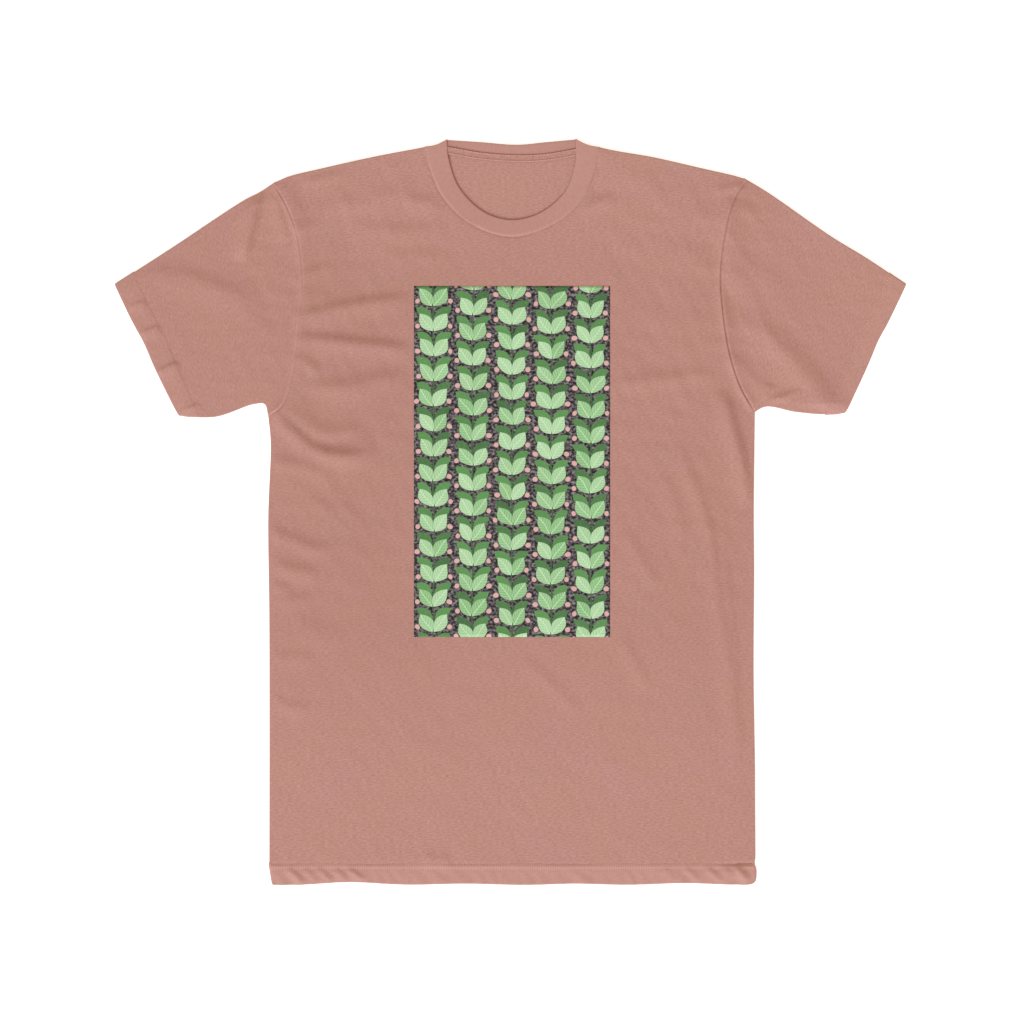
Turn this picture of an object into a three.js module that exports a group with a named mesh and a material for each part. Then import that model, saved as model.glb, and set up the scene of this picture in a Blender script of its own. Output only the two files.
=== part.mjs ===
// Short-sleeved crew-neck T-shirt of cotton jersey, lying flat on its back with the front up.
// Millimetres. +X is to the right as the front is looked at, +Y runs from the hem to the neck, and +Z is
// up from the surface that the shirt lies on. The origin is the middle of the outline, on that surface.
import * as THREE from "three";

// Driving dimensions of the garment
const CHEST_WIDTH = 470; // across the body, side seam to side seam
const LENGTH = 722; // neck point to hem
const SPAN = 767; // cuff to cuff
const HEM_DEPTH = 20; // the hem is turned up and sewn this far from its edge
const CUFF_DEPTH = 25;
const SEAM_ALLOWANCE = 8;
const TAPE_WIDTH = 7.5;
const TAPE_ENDS = [0.06, 0.94]; // the tape's share of the back neck seam
const PRINT_WIDTH = 190;
const PRINT_HEIGHT = 340;

// Cloth
const JERSEY = 0.8; // one ply of the body and the sleeves
const RIB = 1.6; // the neck rib is folded double
const TAPE = 0.6;
const INK = 0.3;
const CLEARANCE = 0.3; // between pieces that are sewn or printed on each other
const SEAM_SHARE = 0.005; // a sleeve starts this share of its length from the armhole seam
const RIB_SEAM_SHARE = 0.04; // and the rib this share of its width from the neck seam
const FOLD_SHARE = 0.01; // inside a fold, cloth starts this share of the way in

// How the shirt lies: the back is flat on the surface, and the front stands off it like a slack pillow
const BODY_LOFT = 5;
const SLEEVE_LOFT = 6;
const BODY_REACH = 90; // the front reaches its full height this far in from a resting edge
const SLEEVE_REACH = 60;
const SLEEVE_FROM = 200; // loft and reach go over from the body's to the sleeve's between these distances
const SLEEVE_TO = 330; // from the middle line
const NECK_FLAT = 17; // round the neck the front lies low this far out from its free edge
const EDGE_TOP = 3 * JERSEY + CLEARANCE; // the front's height at a closed edge, over the seam allowance
const RIB_STAND = 1; // the rib stands up this far at the middle of the back neck

// Grid cells
const NECK_START = 0.29; // the neckline's share of the body's width
const NECK_END = 0.71;
const UNDERARM = 0.65; // the underarm's share of the way from hem to shoulder
const ARMHOLE_FADE = 4; // power by which the armholes' curve fades out across the body
const SHOULDER_CELLS = 6;
const NECK_CELLS = 16;
const NECK_SPREAD = 0.1; // along the neck, cells are longer by the shoulders, where the seam runs down
const SIDE_CELLS = 9;
const ARMHOLE_CELLS = 10;
const SLEEVE_CELLS = 7;
const PRINT_CELLS = [6, 10];
const EDGE_STEPS = 48;

const HALF = CHEST_WIDTH / 2;
const TOP = LENGTH / 2;
const CUFF_X = SPAN / 2;

// Points of the outline and the seams, each list from the hem or the underarm upwards or outwards
const LEFT = {
  side: [[1 - HALF, -TOP], [0.5 - HALF, -180], [-HALF, 0], [2.5 - HALF, 68], [-HALF, 92]],
  armhole: [[-HALF, 92], [-221, 103], [-211, 133], [-203.5, 193], [-201.5, 224], [-206, 265],
    [-216, 294], [-230, 318.5]],
  shoulder: [[-230, 318.5], [-216, 325.5], [-184, 333], [-133, 345], [-83, 353.5]],
  fold: [[-83, 353.5], [-72, 356.5], [-61.5, TOP - 0.5]],
  sleeveTop: [[-230, 318.5], [-243, 310], [-258.5, 302], [-329, 255.5], [-CUFF_X, 220.5]],
  sleeveUnder: [[-HALF, 92], [-238.5, 104], [-249, 104], [-286, 92.5], [-321.5, 92.5]],
};
const RIGHT = {
  side: [[HALF + 1, -TOP], [HALF + 0.5, -160], [HALF + 1, 0], [HALF + 2, 96.5]],
  armhole: [[HALF + 2, 96.5], [223.5, 120], [213, 151], [205.5, 198], [204, 234], [210.5, 281],
    [218.5, 304.5], [229, 322]],
  shoulder: [[229, 322], [218, 325.5], [187, 333], [138, 345], [87, 353]],
  fold: [[87, 353], [76, 355.5], [63.5, TOP]],
  sleeveTop: [[229, 322], [249, 310], [311, 267], [CUFF_X, 220.5]],
  sleeveUnder: [[HALF + 2, 96.5], [248, 103], [276, 98], [302, 95], [324.5, 95]],
};
const FRONT_SEAM = [[-83, 353.5], [-79, 335], [-66.5, 306], [-39, 279], [1.5, 266.5], [42.5, 279],
  [67, 299.5], [81.5, 328], [87, 353]];
const FRONT_FREE = [[-61.5, TOP - 0.5], [-60.5, 345], [-50, 314.5], [-25.5, 290.5], [1.5, 283], [29, 290],
  [53.5, 311.5], [63, 339], [63.5, TOP]];
const BACK_SEAM = [[-83, 353.5], [-59.5, 351], [-29.5, 346], [4.5, 343.5], [33.5, 344.5], [64.5, 349.5],
  [87, 353]];
const BACK_FREE = [[-61.5, TOP - 0.5], [-29.5, 357.5], [6, 355], [33.5, 358], [63.5, TOP]];
const PRINT_MIDDLE = [1.5, 48.5];

// A smooth curve through points in the plane, as a function of the share of its length.
function curve(points) {
  const line = new THREE.CatmullRomCurve3(points.map(([x, y]) => new THREE.Vector3(x, y, 0)));
  line.arcLengthDivisions = 400;
  return (t) => line.getPointAt(THREE.MathUtils.clamp(t, 0, 1));
}

// A neck curve, whose stations are further apart at its two ends.
function neckCurve(points) {
  const line = curve(points);
  return (t) => line(t + NECK_SPREAD * Math.sin(2 * Math.PI * t));
}

// Curves end to end, meeting at the given shares of the whole.
function chain(curves, breaks) {
  const ends = [0, ...breaks, 1];
  return (t) => {
    const i = breaks.filter((b) => t > b).length;
    return curves[i]((t - ends[i]) / (ends[i + 1] - ends[i]));
  };
}

// The same curve from its other end.
const reversed = (line) => (t) => line(1 - t);

// Surface inside four edges: the ruled surface between bottom and top, plus what the left and right edges
// depart from it, which fades out across the surface by a power of the distance. With a power of 1 it is
// a Coons patch. u runs along bottom and top, v along left and right.
function patch({ bottom, top, left, right }, power = 1) {
  const ruled = (u, v) => bottom(u).lerp(top(u), v);
  return (u, v) => {
    const leftPull = left(v).sub(ruled(0, v));
    const rightPull = right(v).sub(ruled(1, v));
    return ruled(u, v).addScaledVector(leftPull, (1 - u) ** power).addScaledVector(rightPull, u ** power);
  };
}

// Numbers from start to end in equal steps.
const steps = (start, end, cells) =>
  Array.from({ length: cells + 1 }, (_, k) => start + ((end - start) * k) / cells);

// Shares from 0 to 1 with the two ends drawn in, for the inner face of cloth that is folded there.
const insideFolds = (shares, inset) => shares.map((t) => THREE.MathUtils.clamp(t, inset, 1 - inset));

// Several such runs end to end, with no number twice.
const runs = (...lists) => [...new Set(lists.flat())];

// The resting edges, where the front comes down to the back. Front and back are sewn or folded together at
// the shoulder and sleeve top and at the sleeve's underside and the body's side, and the neck's free edge
// lies on the back as well.
const edgePoints = (lines) => lines.flatMap((line) => steps(0, 1, EDGE_STEPS).map(line));
const restingEdges = [LEFT, RIGHT].flatMap((s) => [
  [reversed(curve(s.sleeveTop)), curve(s.shoulder), curve(s.fold)],
  [reversed(curve(s.sleeveUnder)), reversed(curve(s.side))],
]).map(edgePoints);
const neckEdge = [edgePoints([curve(FRONT_FREE)])];

// Distance from a point in the plane to the nearest of some edges.
function edgeDistance(p, edges) {
  const segment = new THREE.Line3();
  const nearest = new THREE.Vector3();
  const flat = new THREE.Vector3(p.x, p.y, 0);
  let best = Infinity;
  for (const edge of edges) {
    for (let k = 1; k < edge.length; k++) {
      segment.set(edge[k - 1], edge[k]).closestPointToPoint(flat, true, nearest);
      best = Math.min(best, nearest.distanceTo(flat));
    }
  }
  return best;
}

// Height of the front's outer face over the surface: a quarter sine wave from a resting edge to the loft.
function frontHeight(p) {
  const towardsSleeve = THREE.MathUtils.smoothstep(Math.abs(p.x), SLEEVE_FROM, SLEEVE_TO);
  const loft = THREE.MathUtils.lerp(BODY_LOFT, SLEEVE_LOFT, towardsSleeve);
  const reach = THREE.MathUtils.lerp(BODY_REACH, SLEEVE_REACH, towardsSleeve);
  const fromNeck = Math.max(edgeDistance(p, neckEdge) - NECK_FLAT, 0);
  const share = Math.min(edgeDistance(p, restingEdges) / reach, fromNeck / reach, 1);
  return EDGE_TOP + loft * Math.sin((share * Math.PI) / 2);
}

// A point of the plane raised to a height.
const raised = (p, z) => new THREE.Vector3(p.x, p.y, z);

// Solid between two like grids of points, closed at its rims. Where ring is true each row is a loop.
function solidBetween(outer, inner, ring = false) {
  const rows = outer.length;
  const columns = outer[0].length;
  const cells = ring ? columns : columns - 1;
  const out = (j, i) => j * columns + (i % columns);
  const inn = (j, i) => rows * columns + out(j, i);
  const index = [];
  const quad = (a, b, c, d) => index.push(a, b, c, a, c, d);
  for (let i = 0; i < cells; i++) {
    for (let j = 0; j + 1 < rows; j++) {
      quad(out(j, i), out(j, i + 1), out(j + 1, i + 1), out(j + 1, i));
      quad(inn(j, i), inn(j + 1, i), inn(j + 1, i + 1), inn(j, i + 1));
    }
    quad(out(0, i + 1), out(0, i), inn(0, i), inn(0, i + 1));
    quad(out(rows - 1, i), out(rows - 1, i + 1), inn(rows - 1, i + 1), inn(rows - 1, i));
  }
  const last = columns - 1;
  for (let j = 0; j + 1 < rows && !ring; j++) {
    quad(out(j, 0), out(j + 1, 0), inn(j + 1, 0), inn(j, 0));
    quad(out(j + 1, last), out(j, last), inn(j, last), inn(j + 1, last));
  }
  return facingOut([...outer.flat(), ...inner.flat()], index);
}

// Geometry of a closed surface, with its triangles turned round if they face inwards.
function facingOut(points, index) {
  let volume = 0;
  for (let k = 0; k < index.length; k += 3) {
    const [a, b, c] = [points[index[k]], points[index[k + 1]], points[index[k + 2]]];
    volume += a.dot(b.clone().cross(c));
  }
  const geometry = new THREE.BufferGeometry().setFromPoints(points);
  geometry.setIndex(volume > 0 ? index : index.reverse());
  geometry.computeVertexNormals();
  return geometry;
}

const shirt = new THREE.Group();

function add(name, geometry, material) {
  const mesh = new THREE.Mesh(geometry, material);
  mesh.name = name;
  shirt.add(mesh);
}

const jersey = new THREE.MeshStandardMaterial({ color: 0xbd8b80, roughness: 0.95, metalness: 0 });
const rib = new THREE.MeshStandardMaterial({ color: 0xbd8b80, roughness: 0.95, metalness: 0 });
const twill = new THREE.MeshStandardMaterial({ color: 0xc09084, roughness: 0.9, metalness: 0 });
const ink = new THREE.MeshStandardMaterial({ color: 0x6f8f5a, roughness: 0.8, metalness: 0 });

// Edges that the front and the back share: hem below, side seam and armhole at each side, shoulders above.
const hemLine = curve([LEFT.side[0], RIGHT.side[0]]);
const bodyEdge = (s) => chain([curve(s.side), curve(s.armhole)], [UNDERARM]);
const bodyTop = (neckline) =>
  chain([curve(LEFT.shoulder), neckCurve(neckline), reversed(curve(RIGHT.shoulder))], [NECK_START, NECK_END]);
const bodyPatch = (neckline) => {
  const edges = { bottom: hemLine, top: bodyTop(neckline), left: bodyEdge(LEFT), right: bodyEdge(RIGHT) };
  return patch(edges, ARMHOLE_FADE);
};

// Shares across and along the body, with a line at each seam allowance and at both sides of the hem's step.
const allowanceShare = SEAM_ALLOWANCE / CHEST_WIDTH;
const hemShare = (UNDERARM * HEM_DEPTH) / (TOP + LEFT.side.at(-1)[1]);
const stepShare = hemShare * 1.03;
const across = runs(
  [0, allowanceShare],
  steps(allowanceShare, NECK_START, SHOULDER_CELLS),
  steps(NECK_START, NECK_END, NECK_CELLS),
  steps(NECK_END, 1 - allowanceShare, SHOULDER_CELLS),
  [1],
);
const upBody = runs(
  [0, hemShare],
  steps(stepShare, UNDERARM, SIDE_CELLS),
  steps(UNDERARM, 1 - allowanceShare, ARMHOLE_CELLS),
  [1],
);

// The armhole part of the body's edge, as shares of the armhole: a sleeve has the same points along its seam.
const armholeShares = upBody.filter((v) => v >= UNDERARM).map((v) => (v - UNDERARM) / (1 - UNDERARM));

// Front panel: one ply that follows the loft, with the hem's second ply raised on it.
function frontPanel() {
  const at = bodyPatch(FRONT_SEAM);
  const point = (u, v, lift) => raised(at(u, v), frontHeight(at(u, v)) + lift);
  const grid = (lift) => upBody.map((v) => across.map((u) => point(u, v, lift(v))));
  const hemLift = (v) => (v <= hemShare ? JERSEY : 0);
  return solidBetween(grid(hemLift), grid(() => -JERSEY));
}

// Back panel: flat on the surface, doubled at the hem and along the side and shoulder seams.
function backPanel() {
  const at = bodyPatch(BACK_SEAM);
  const besideSeam = (u, v) => {
    const onSide = v <= UNDERARM && (u === 0 || u === 1);
    const onShoulder = v === 1 && (u <= NECK_START || u >= NECK_END);
    return onSide || onShoulder;
  };
  const thickness = (u, v) => (v <= hemShare || besideSeam(u, v) ? 2 * JERSEY : JERSEY);
  const upper = upBody.map((v) => across.map((u) => raised(at(u, v), thickness(u, v))));
  const lower = upBody.map((v) => across.map((u) => raised(at(u, v), 0)));
  return solidBetween(upper, lower);
}

// Sleeve: a flattened tube from the armhole to the cuff, flat underneath and lofted on top, with a
// second ply at the cuff.
function sleeve(s) {
  const at = patch({
    bottom: curve(s.armhole),
    top: (t) => curve(s.sleeveUnder)(1).lerp(curve(s.sleeveTop)(1), t),
    left: curve(s.sleeveUnder),
    right: curve(s.sleeveTop),
  });
  const cuffStart = 1 - CUFF_DEPTH / (CUFF_X - HALF);
  const alongSleeve = runs(steps(SEAM_SHARE, cuffStart, SLEEVE_CELLS), [cuffStart + SEAM_SHARE, 1]);
  const ply = (v) => (v > cuffStart ? JERSEY : 0);
  const loop = (v, inset, under, over) => {
    const shares = insideFolds(armholeShares, inset);
    const below = shares.map((u) => raised(at(u, v), under));
    const above = shares.map((u) => raised(at(u, v), frontHeight(at(u, v)) + over));
    return [...below, ...above.reverse()];
  };
  const outer = alongSleeve.map((v) => loop(v, 0, 0, ply(v)));
  const inner = alongSleeve.map((v) => loop(v, FOLD_SHARE, JERSEY + ply(v), -JERSEY));
  return solidBetween(outer, inner, true);
}

// Neck rib: a doubled band from the neck seam to its free edge, on the front over the loft, folded at the
// two neck points, and standing up a little at the back.
function neckRib() {
  const band = (seam, free) => (t, w) => neckCurve(seam)(t).lerp(neckCurve(free)(t), w);
  const front = band(FRONT_SEAM, FRONT_FREE);
  const back = band(BACK_SEAM, BACK_FREE);
  const stand = (t, w) => RIB_STAND * w * Math.sin(Math.PI * t);
  const atFold = (t) => t === 0 || t === 1;
  const loop = (w, inset, over, under) => {
    const place = (p, t, z) => new THREE.Vector3(atFold(t) ? p.x - Math.sign(p.x) * inset : p.x, p.y, z);
    const stations = steps(0, 1, NECK_CELLS);
    const above = stations.map((t) => place(front(t, w), t, frontHeight(front(t, w)) + over));
    const below = stations.map((t) => place(back(t, w), t, stand(t, w) + under));
    return [...above, ...below.reverse()];
  };
  const widths = steps(RIB_SEAM_SHARE, 1, 2);
  const outer = widths.map((w) => loop(w, 0, JERSEY, 0));
  const inner = widths.map((w) => loop(w, RIB, JERSEY - RIB, RIB));
  return solidBetween(outer, inner, true);
}

// Neck tape: a strip sewn inside the back over the neck seam, between the shoulder seams.
function neckTape() {
  const seam = neckCurve(BACK_SEAM);
  const row = (drop, z) => steps(TAPE_ENDS[0], TAPE_ENDS[1], NECK_CELLS).map((t) => {
    const p = seam(t);
    return new THREE.Vector3(p.x, p.y - drop, z);
  });
  const strip = (z) => [TAPE_WIDTH, CLEARANCE].map((drop) => row(drop, z));
  const bottom = JERSEY + CLEARANCE;
  return solidBetween(strip(bottom + TAPE), strip(bottom));
}

// Chest print: a film of ink on the front panel.
function chestPrint() {
  const [x, y] = PRINT_MIDDLE;
  const columns = steps(x - PRINT_WIDTH / 2, x + PRINT_WIDTH / 2, PRINT_CELLS[0]);
  const rows = steps(y - PRINT_HEIGHT / 2, y + PRINT_HEIGHT / 2, PRINT_CELLS[1]);
  const film = (lift) => rows.map((py) => columns.map((px) => {
    const p = new THREE.Vector3(px, py, 0);
    return raised(p, frontHeight(p) + lift);
  }));
  return solidBetween(film(CLEARANCE + INK), film(CLEARANCE));
}

add("back_panel", backPanel(), jersey);
add("front_panel", frontPanel(), jersey);
add("sleeve_left", sleeve(LEFT), jersey);
add("sleeve_right", sleeve(RIGHT), jersey);
add("neck_rib", neckRib(), rib);
add("neck_tape", neckTape(), twill);
add("chest_print", chestPrint(), ink);

export default shirt;
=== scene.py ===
# %% [markdown]
# # A T-shirt laid flat, front up
# The object is a short-sleeved crew-neck T-shirt of dusty-pink cotton jersey with a printed panel on its
# chest. Clothes are often made in Blender by a cloth simulation over a body. This shirt lies on a table,
# so its plan is known almost to the millimetre, and each panel is worked out directly: a grid over the
# plan, lifted by a height that holds the soft edges, the folds and the seams. Sizes are in metres, in the
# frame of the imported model: +X to the right, +Y to the neck, +Z up from the table.

import bpy
import numpy as np
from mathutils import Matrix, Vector


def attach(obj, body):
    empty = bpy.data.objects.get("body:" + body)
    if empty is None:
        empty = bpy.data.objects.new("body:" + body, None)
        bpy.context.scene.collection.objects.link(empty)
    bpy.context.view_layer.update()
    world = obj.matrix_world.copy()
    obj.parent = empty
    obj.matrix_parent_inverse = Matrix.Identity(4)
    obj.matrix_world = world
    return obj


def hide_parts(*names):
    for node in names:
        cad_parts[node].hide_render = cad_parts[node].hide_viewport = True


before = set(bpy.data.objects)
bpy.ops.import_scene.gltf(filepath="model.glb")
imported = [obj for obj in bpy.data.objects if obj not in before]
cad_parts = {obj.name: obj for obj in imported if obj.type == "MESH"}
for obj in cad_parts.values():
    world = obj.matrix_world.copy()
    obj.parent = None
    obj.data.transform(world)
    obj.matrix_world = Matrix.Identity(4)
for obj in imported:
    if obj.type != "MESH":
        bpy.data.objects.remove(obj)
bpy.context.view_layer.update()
MM = 0.001
TURN = 2 * np.pi
print("nodes of the model:", ", ".join(sorted(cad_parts)))

# %% [markdown]
# ## Camera
# A flat lay is photographed from straight above. A camera that hangs far away with a long lens keeps the
# raised front from looking larger than the edges, and its height follows from the width of table it sees.

# %% Camera
PICTURE_PIXELS = 1024
PIXEL = 0.97 * MM
PICTURE_MIDDLE = (1.5 * MM, -0.5 * MM)
LENS_MM = 100.0
SENSOR_MM = 36.0
EDGE_HEIGHT = 2.0 * MM

camera_data = bpy.data.cameras.new("overhead")
camera_data.lens = LENS_MM
camera_data.sensor_width = SENSOR_MM
camera = bpy.data.objects.new("overhead", camera_data)
camera_height = PICTURE_PIXELS * PIXEL * LENS_MM / SENSOR_MM + EDGE_HEIGHT
camera.location = (*PICTURE_MIDDLE, camera_height)
scene = bpy.context.scene
scene.collection.objects.link(camera)
scene.camera = camera
print(f"camera hangs {camera_height:.2f} m above the table")

# %% [markdown]
# ## Light and table
# The shirt was lit very evenly, from all round, with more light from below and a little from the left, so
# that folds show as faint soft lines. An even sky does most of the work, and one wide lamp, so far away
# that it is equally strong on the whole shirt, adds the bias. The table is one of those that glow a
# little from below, as they do for goods on white, which takes the shadows off it. The Standard view
# keeps colours as they are worked out here.

# %% Light and table
SKY_STRENGTH = 0.66
LAMP_STRENGTH = 2.55
LAMP_SPREAD = np.radians(30)
LAMP_FROM = (-0.35, -0.76, 0.55)
TABLE_SIDE = 12.0
TABLE_DROP = 0.3 * MM
TABLE_WHITE = 0.93
TABLE_GLOW = 0.45
# The lamp is cooler than the sky by as much as makes up for it, so level cloth sees white light.
SKY_TINT = (1.13, 0.99, 0.865)
LAMP_TINT = (0.80, 1.015, 1.20)

scene.view_settings.view_transform = "Standard"
sky = bpy.data.worlds.new("even warm sky")
sky.use_nodes = True
sky.node_tree.nodes["Background"].inputs["Color"].default_value = (*SKY_TINT, 1)
sky.node_tree.nodes["Background"].inputs["Strength"].default_value = SKY_STRENGTH
scene.world = sky

lamp_data = bpy.data.lights.new("soft far lamp", "SUN")
lamp_data.energy = LAMP_STRENGTH
lamp_data.color = LAMP_TINT
lamp_data.angle = LAMP_SPREAD
lamp = bpy.data.objects.new("soft far lamp", lamp_data)
lamp.rotation_euler = Vector(LAMP_FROM).to_track_quat("Z", "Y").to_euler()
scene.collection.objects.link(lamp)
print(f"lamp {np.degrees(LAMP_SPREAD):.0f} degrees wide")

# %% [markdown]
# ## Materials as expressions
# A procedural material is arithmetic on coordinates. Joining nodes by hand hides that, so a small class
# wraps a socket and lets Python's operators add the Math nodes. Any other node comes from one method,
# which takes the node's type, its settings and what goes into its sockets.

# %% A socket that does arithmetic
class Value:
    """A number that varies over a surface: an output socket, on which operators add Math nodes."""

    def __init__(self, finish, socket):
        self.finish = finish
        self.socket = socket

    def math(self, operation, *terms):
        return self.finish.node("ShaderNodeMath", {"operation": operation}, dict(enumerate(terms)))

    def __add__(self, other):
        return self.math("ADD", self, other)

    def __sub__(self, other):
        return self.math("SUBTRACT", self, other)

    def __rsub__(self, other):
        return self.math("SUBTRACT", other, self)

    def __mul__(self, other):
        return self.math("MULTIPLY", self, other)

    def __truediv__(self, other):
        return self.math("DIVIDE", self, other)

    def __pow__(self, other):
        return self.math("POWER", self, other)

    def __abs__(self):
        return self.math("ABSOLUTE", self)

    __radd__ = __add__
    __rmul__ = __mul__

    def sine(self):
        return self.math("SINE", self)

    def floor(self):
        return self.math("FLOOR", self)

    def fraction(self):
        return self.math("FRACT", self)

    def most(self, other):
        return self.math("MAXIMUM", self, other)

    def step(self, start, end):
        """0 before start, 1 after end, and a smooth S between them."""
        sockets = {"Value": self, "From Min": start, "From Max": end}
        return self.finish.node("ShaderNodeMapRange", {"interpolation_type": "SMOOTHSTEP"}, sockets)


# %% A material in the making
class Finish:
    """A material with one Principled surface, whose nodes are made by a single method."""

    def __init__(self, name, roughness, sheen=0.0):
        self.material = bpy.data.materials.new(name)
        self.material.use_nodes = True
        self.tree = self.material.node_tree
        self.surface = self.tree.nodes["Principled BSDF"]
        self.surface.inputs["Roughness"].default_value = roughness
        self.surface.inputs["Specular IOR Level"].default_value = 0.2
        self.surface.inputs["Sheen Weight"].default_value = sheen
        self.surface.inputs["Sheen Roughness"].default_value = 0.35

    def plug(self, socket, value):
        if isinstance(value, Value):
            self.tree.links.new(value.socket, socket)
        else:
            socket.default_value = value

    def node(self, kind, settings=None, sockets=None, output=0):
        made = self.tree.nodes.new(kind)
        for key, value in (settings or {}).items():
            setattr(made, key, value)
        for key, value in (sockets or {}).items():
            self.plug(made.inputs[key], value)
        return Value(self, made.outputs[output])

    def across_along(self, layer):
        """The two coordinates of a UV map, which is kept in metres."""
        place = self.node("ShaderNodeUVMap", {"uv_map": layer})
        return [self.node("ShaderNodeSeparateXYZ", None, {0: place}, k) for k in (0, 1)]

    def cloud(self, across, along, size, detail=2.0, seed=0.0):
        """Soft noise from 0 to 1, whose grains have a size across and a size along."""
        sockets = {0: across / size[0], 1: along / size[1], 2: seed}
        place = self.node("ShaderNodeCombineXYZ", None, sockets)
        return self.node("ShaderNodeTexNoise", None, {"Vector": place, "Scale": 1.0, "Detail": detail})

    def mix(self, share, first, second):
        """A colour between two colours."""
        settings = {"data_type": "RGBA", "clamp_factor": True}
        return self.node("ShaderNodeMix", settings, {0: share, 6: first, 7: second}, 2)

    def relief(self, height, depth):
        """Bump from a height of 0 to 1, which stands for a depth in metres."""
        normal = self.node("ShaderNodeBump", None, {"Height": height, "Strength": 1.0, "Distance": depth})
        self.plug(self.surface.inputs["Normal"], normal)


def shade(red, green, blue):
    """Linear colour from the 0 to 255 values that a screen shows."""
    screen = np.array([red, green, blue]) / 255
    linear = np.where(screen > 0.04045, ((screen + 0.055) / 1.055) ** 2.4, screen / 12.92)
    return (*linear.tolist(), 1.0)


print("a material's arithmetic is ready")

# %% Table
white = Finish("matt white table", roughness=0.9)
white.surface.inputs["Base Color"].default_value = (TABLE_WHITE, TABLE_WHITE, TABLE_WHITE, 1)
white.surface.inputs["Emission Color"].default_value = (1, 1, 1, 1)
white.surface.inputs["Emission Strength"].default_value = TABLE_GLOW
half_table = TABLE_SIDE / 2
table_corners = [(-half_table, -half_table), (half_table, -half_table), (half_table, half_table),
                 (-half_table, half_table)]
table_mesh = bpy.data.meshes.new("table")
table_mesh.from_pydata([(x, y, -TABLE_DROP) for x, y in table_corners], [], [(0, 1, 2, 3)])
table_mesh.materials.append(white.material)
table = bpy.data.objects.new("table", table_mesh)
scene.collection.objects.link(table)
print(f"table {TABLE_SIDE:.0f} m wide")

# %% [markdown]
# ## Lines of the cut
# A pattern cutter draws a shirt as smooth lines through a few points. The lines here keep to the packed
# model's outline, within a millimetre or two, as splines that never overshoot between uneven points. A
# line is a function: give it a share of its length, from 0 to 1, and it gives the place.

# %% Smooth lines
def curve(points, samples=40):
    """Line through points: between two of them, the cubic whose end slopes are those of a centripetal
    Catmull-Rom spline. Gives a function from shares of the line's length to places in metres."""
    inner = np.array(points, float) * MM
    p = np.vstack([2 * inner[0] - inner[1], inner, 2 * inner[-1] - inner[-2]])
    step = np.diff(p, axis=0)
    knot = np.sqrt(np.linalg.norm(step, axis=1))[:, None]
    before, here, after = knot[:-2], knot[1:-1], knot[2:]
    slope = step / knot
    leave = here * (slope[:-2] + slope[1:-1] - (p[2:-1] - p[:-3]) / (before + here))
    arrive = here * (slope[1:-1] + slope[2:] - (p[3:] - p[1:-2]) / (here + after))
    t = np.linspace(0, 1, samples, endpoint=False)[:, None, None]
    line = (2 * t**3 - 3 * t**2 + 1) * p[1:-2] + (t**3 - 2 * t**2 + t) * leave
    line = line + (3 * t**2 - 2 * t**3) * p[2:-1] + (t**3 - t**2) * arrive
    line = np.vstack([line.transpose(1, 0, 2).reshape(-1, 2), inner[-1]])
    run = np.concatenate([[0], np.cumsum(np.linalg.norm(np.diff(line, axis=0), axis=1))])

    def at(share):
        return np.stack([np.interp(np.asarray(share) * run[-1], run, line[:, k]) for k in (0, 1)], axis=-1)

    return at


def backwards(line):
    """The same line, walked from its end."""
    return lambda share: line(1 - share)


def spots_along(line, count):
    """Places evenly spaced along a line, its two ends included."""
    return line(np.linspace(0, 1, count))


def chain(lines, breaks):
    """One line from several, each holding its own stretch of the shares from 0 to 1."""
    ends = [0.0, *breaks, 1.0]

    def at(share):
        place = lines[0](np.clip(share / ends[1], 0, 1))
        for line, start, end in zip(lines[1:], ends[1:], ends[2:]):
            later = line(np.clip((share - start) / (end - start), 0, 1))
            place = np.where((share > start)[..., None], later, place)
        return place

    return at


# %% The outline
HALF = 235.0
TOP = 361.0
CUFF_X = 383.5

left = {
    "side": curve([(1 - HALF, -TOP), (1.2 - HALF, -225), (1 - HALF, -100), (-HALF, -5), (2.4 - HALF, 68),
                   (-HALF, 92)]),
    "armhole": curve([(-HALF, 92), (-221, 103), (-211, 133), (-203.5, 193), (-201.5, 224), (-206, 265),
                      (-216, 294), (-230, 318.5)]),
    "shoulder": curve([(-230, 318.5), (-215, 325), (-184, 332.6), (-133, 344), (-83, 353.5)]),
    "fold": curve([(-83, 353.5), (-72, 354.8), (-61.5, TOP - 0.5)]),
    "sleeve_top": curve([(-230, 318.5), (-243, 310), (-258.5, 302), (-329, 255.5), (-CUFF_X, 220.5)]),
    "sleeve_under": curve([(-HALF, 92), (-238.5, 104), (-249, 104), (-286, 91.8), (-321.5, 92.5)]),
}
right = {
    "side": curve([(HALF + 1.8, -TOP), (HALF + 2.2, -255), (HALF + 0.8, -155), (HALF + 1.3, -60),
                   (HALF + 1, 0), (HALF + 2, 96.5)]),
    "armhole": curve([(HALF + 2, 96.5), (223.5, 120), (213, 151), (205.5, 198), (204, 234), (210.5, 281),
                      (218.5, 304.5), (229, 322)]),
    "shoulder": curve([(229, 322), (218, 325.5), (187, 332.6), (138, 343.8), (106, 349.2), (87, 353)]),
    "fold": curve([(87, 353), (76, 353.9), (63.5, TOP)]),
    "sleeve_top": curve([(229, 322), (249, 310), (311, 267), (346, 245.6), (CUFF_X, 220.5)]),
    "sleeve_under": curve([(HALF + 2, 96.5), (248, 101.6), (276, 96.6), (302, 94.2), (324.5, 95)]),
}
front_seam = curve([(-83, 353.5), (-79, 335), (-66.5, 306), (-39, 279), (1.5, 266.5), (42.5, 279),
                    (67, 299.5), (81.5, 328), (87, 353)])
front_free = curve([(-61.5, TOP - 0.5), (-60.5, 345), (-50, 314.5), (-25.5, 290.5), (1.5, 283), (29, 290),
                    (53.5, 311.5), (63, 339), (63.5, TOP)])
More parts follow.
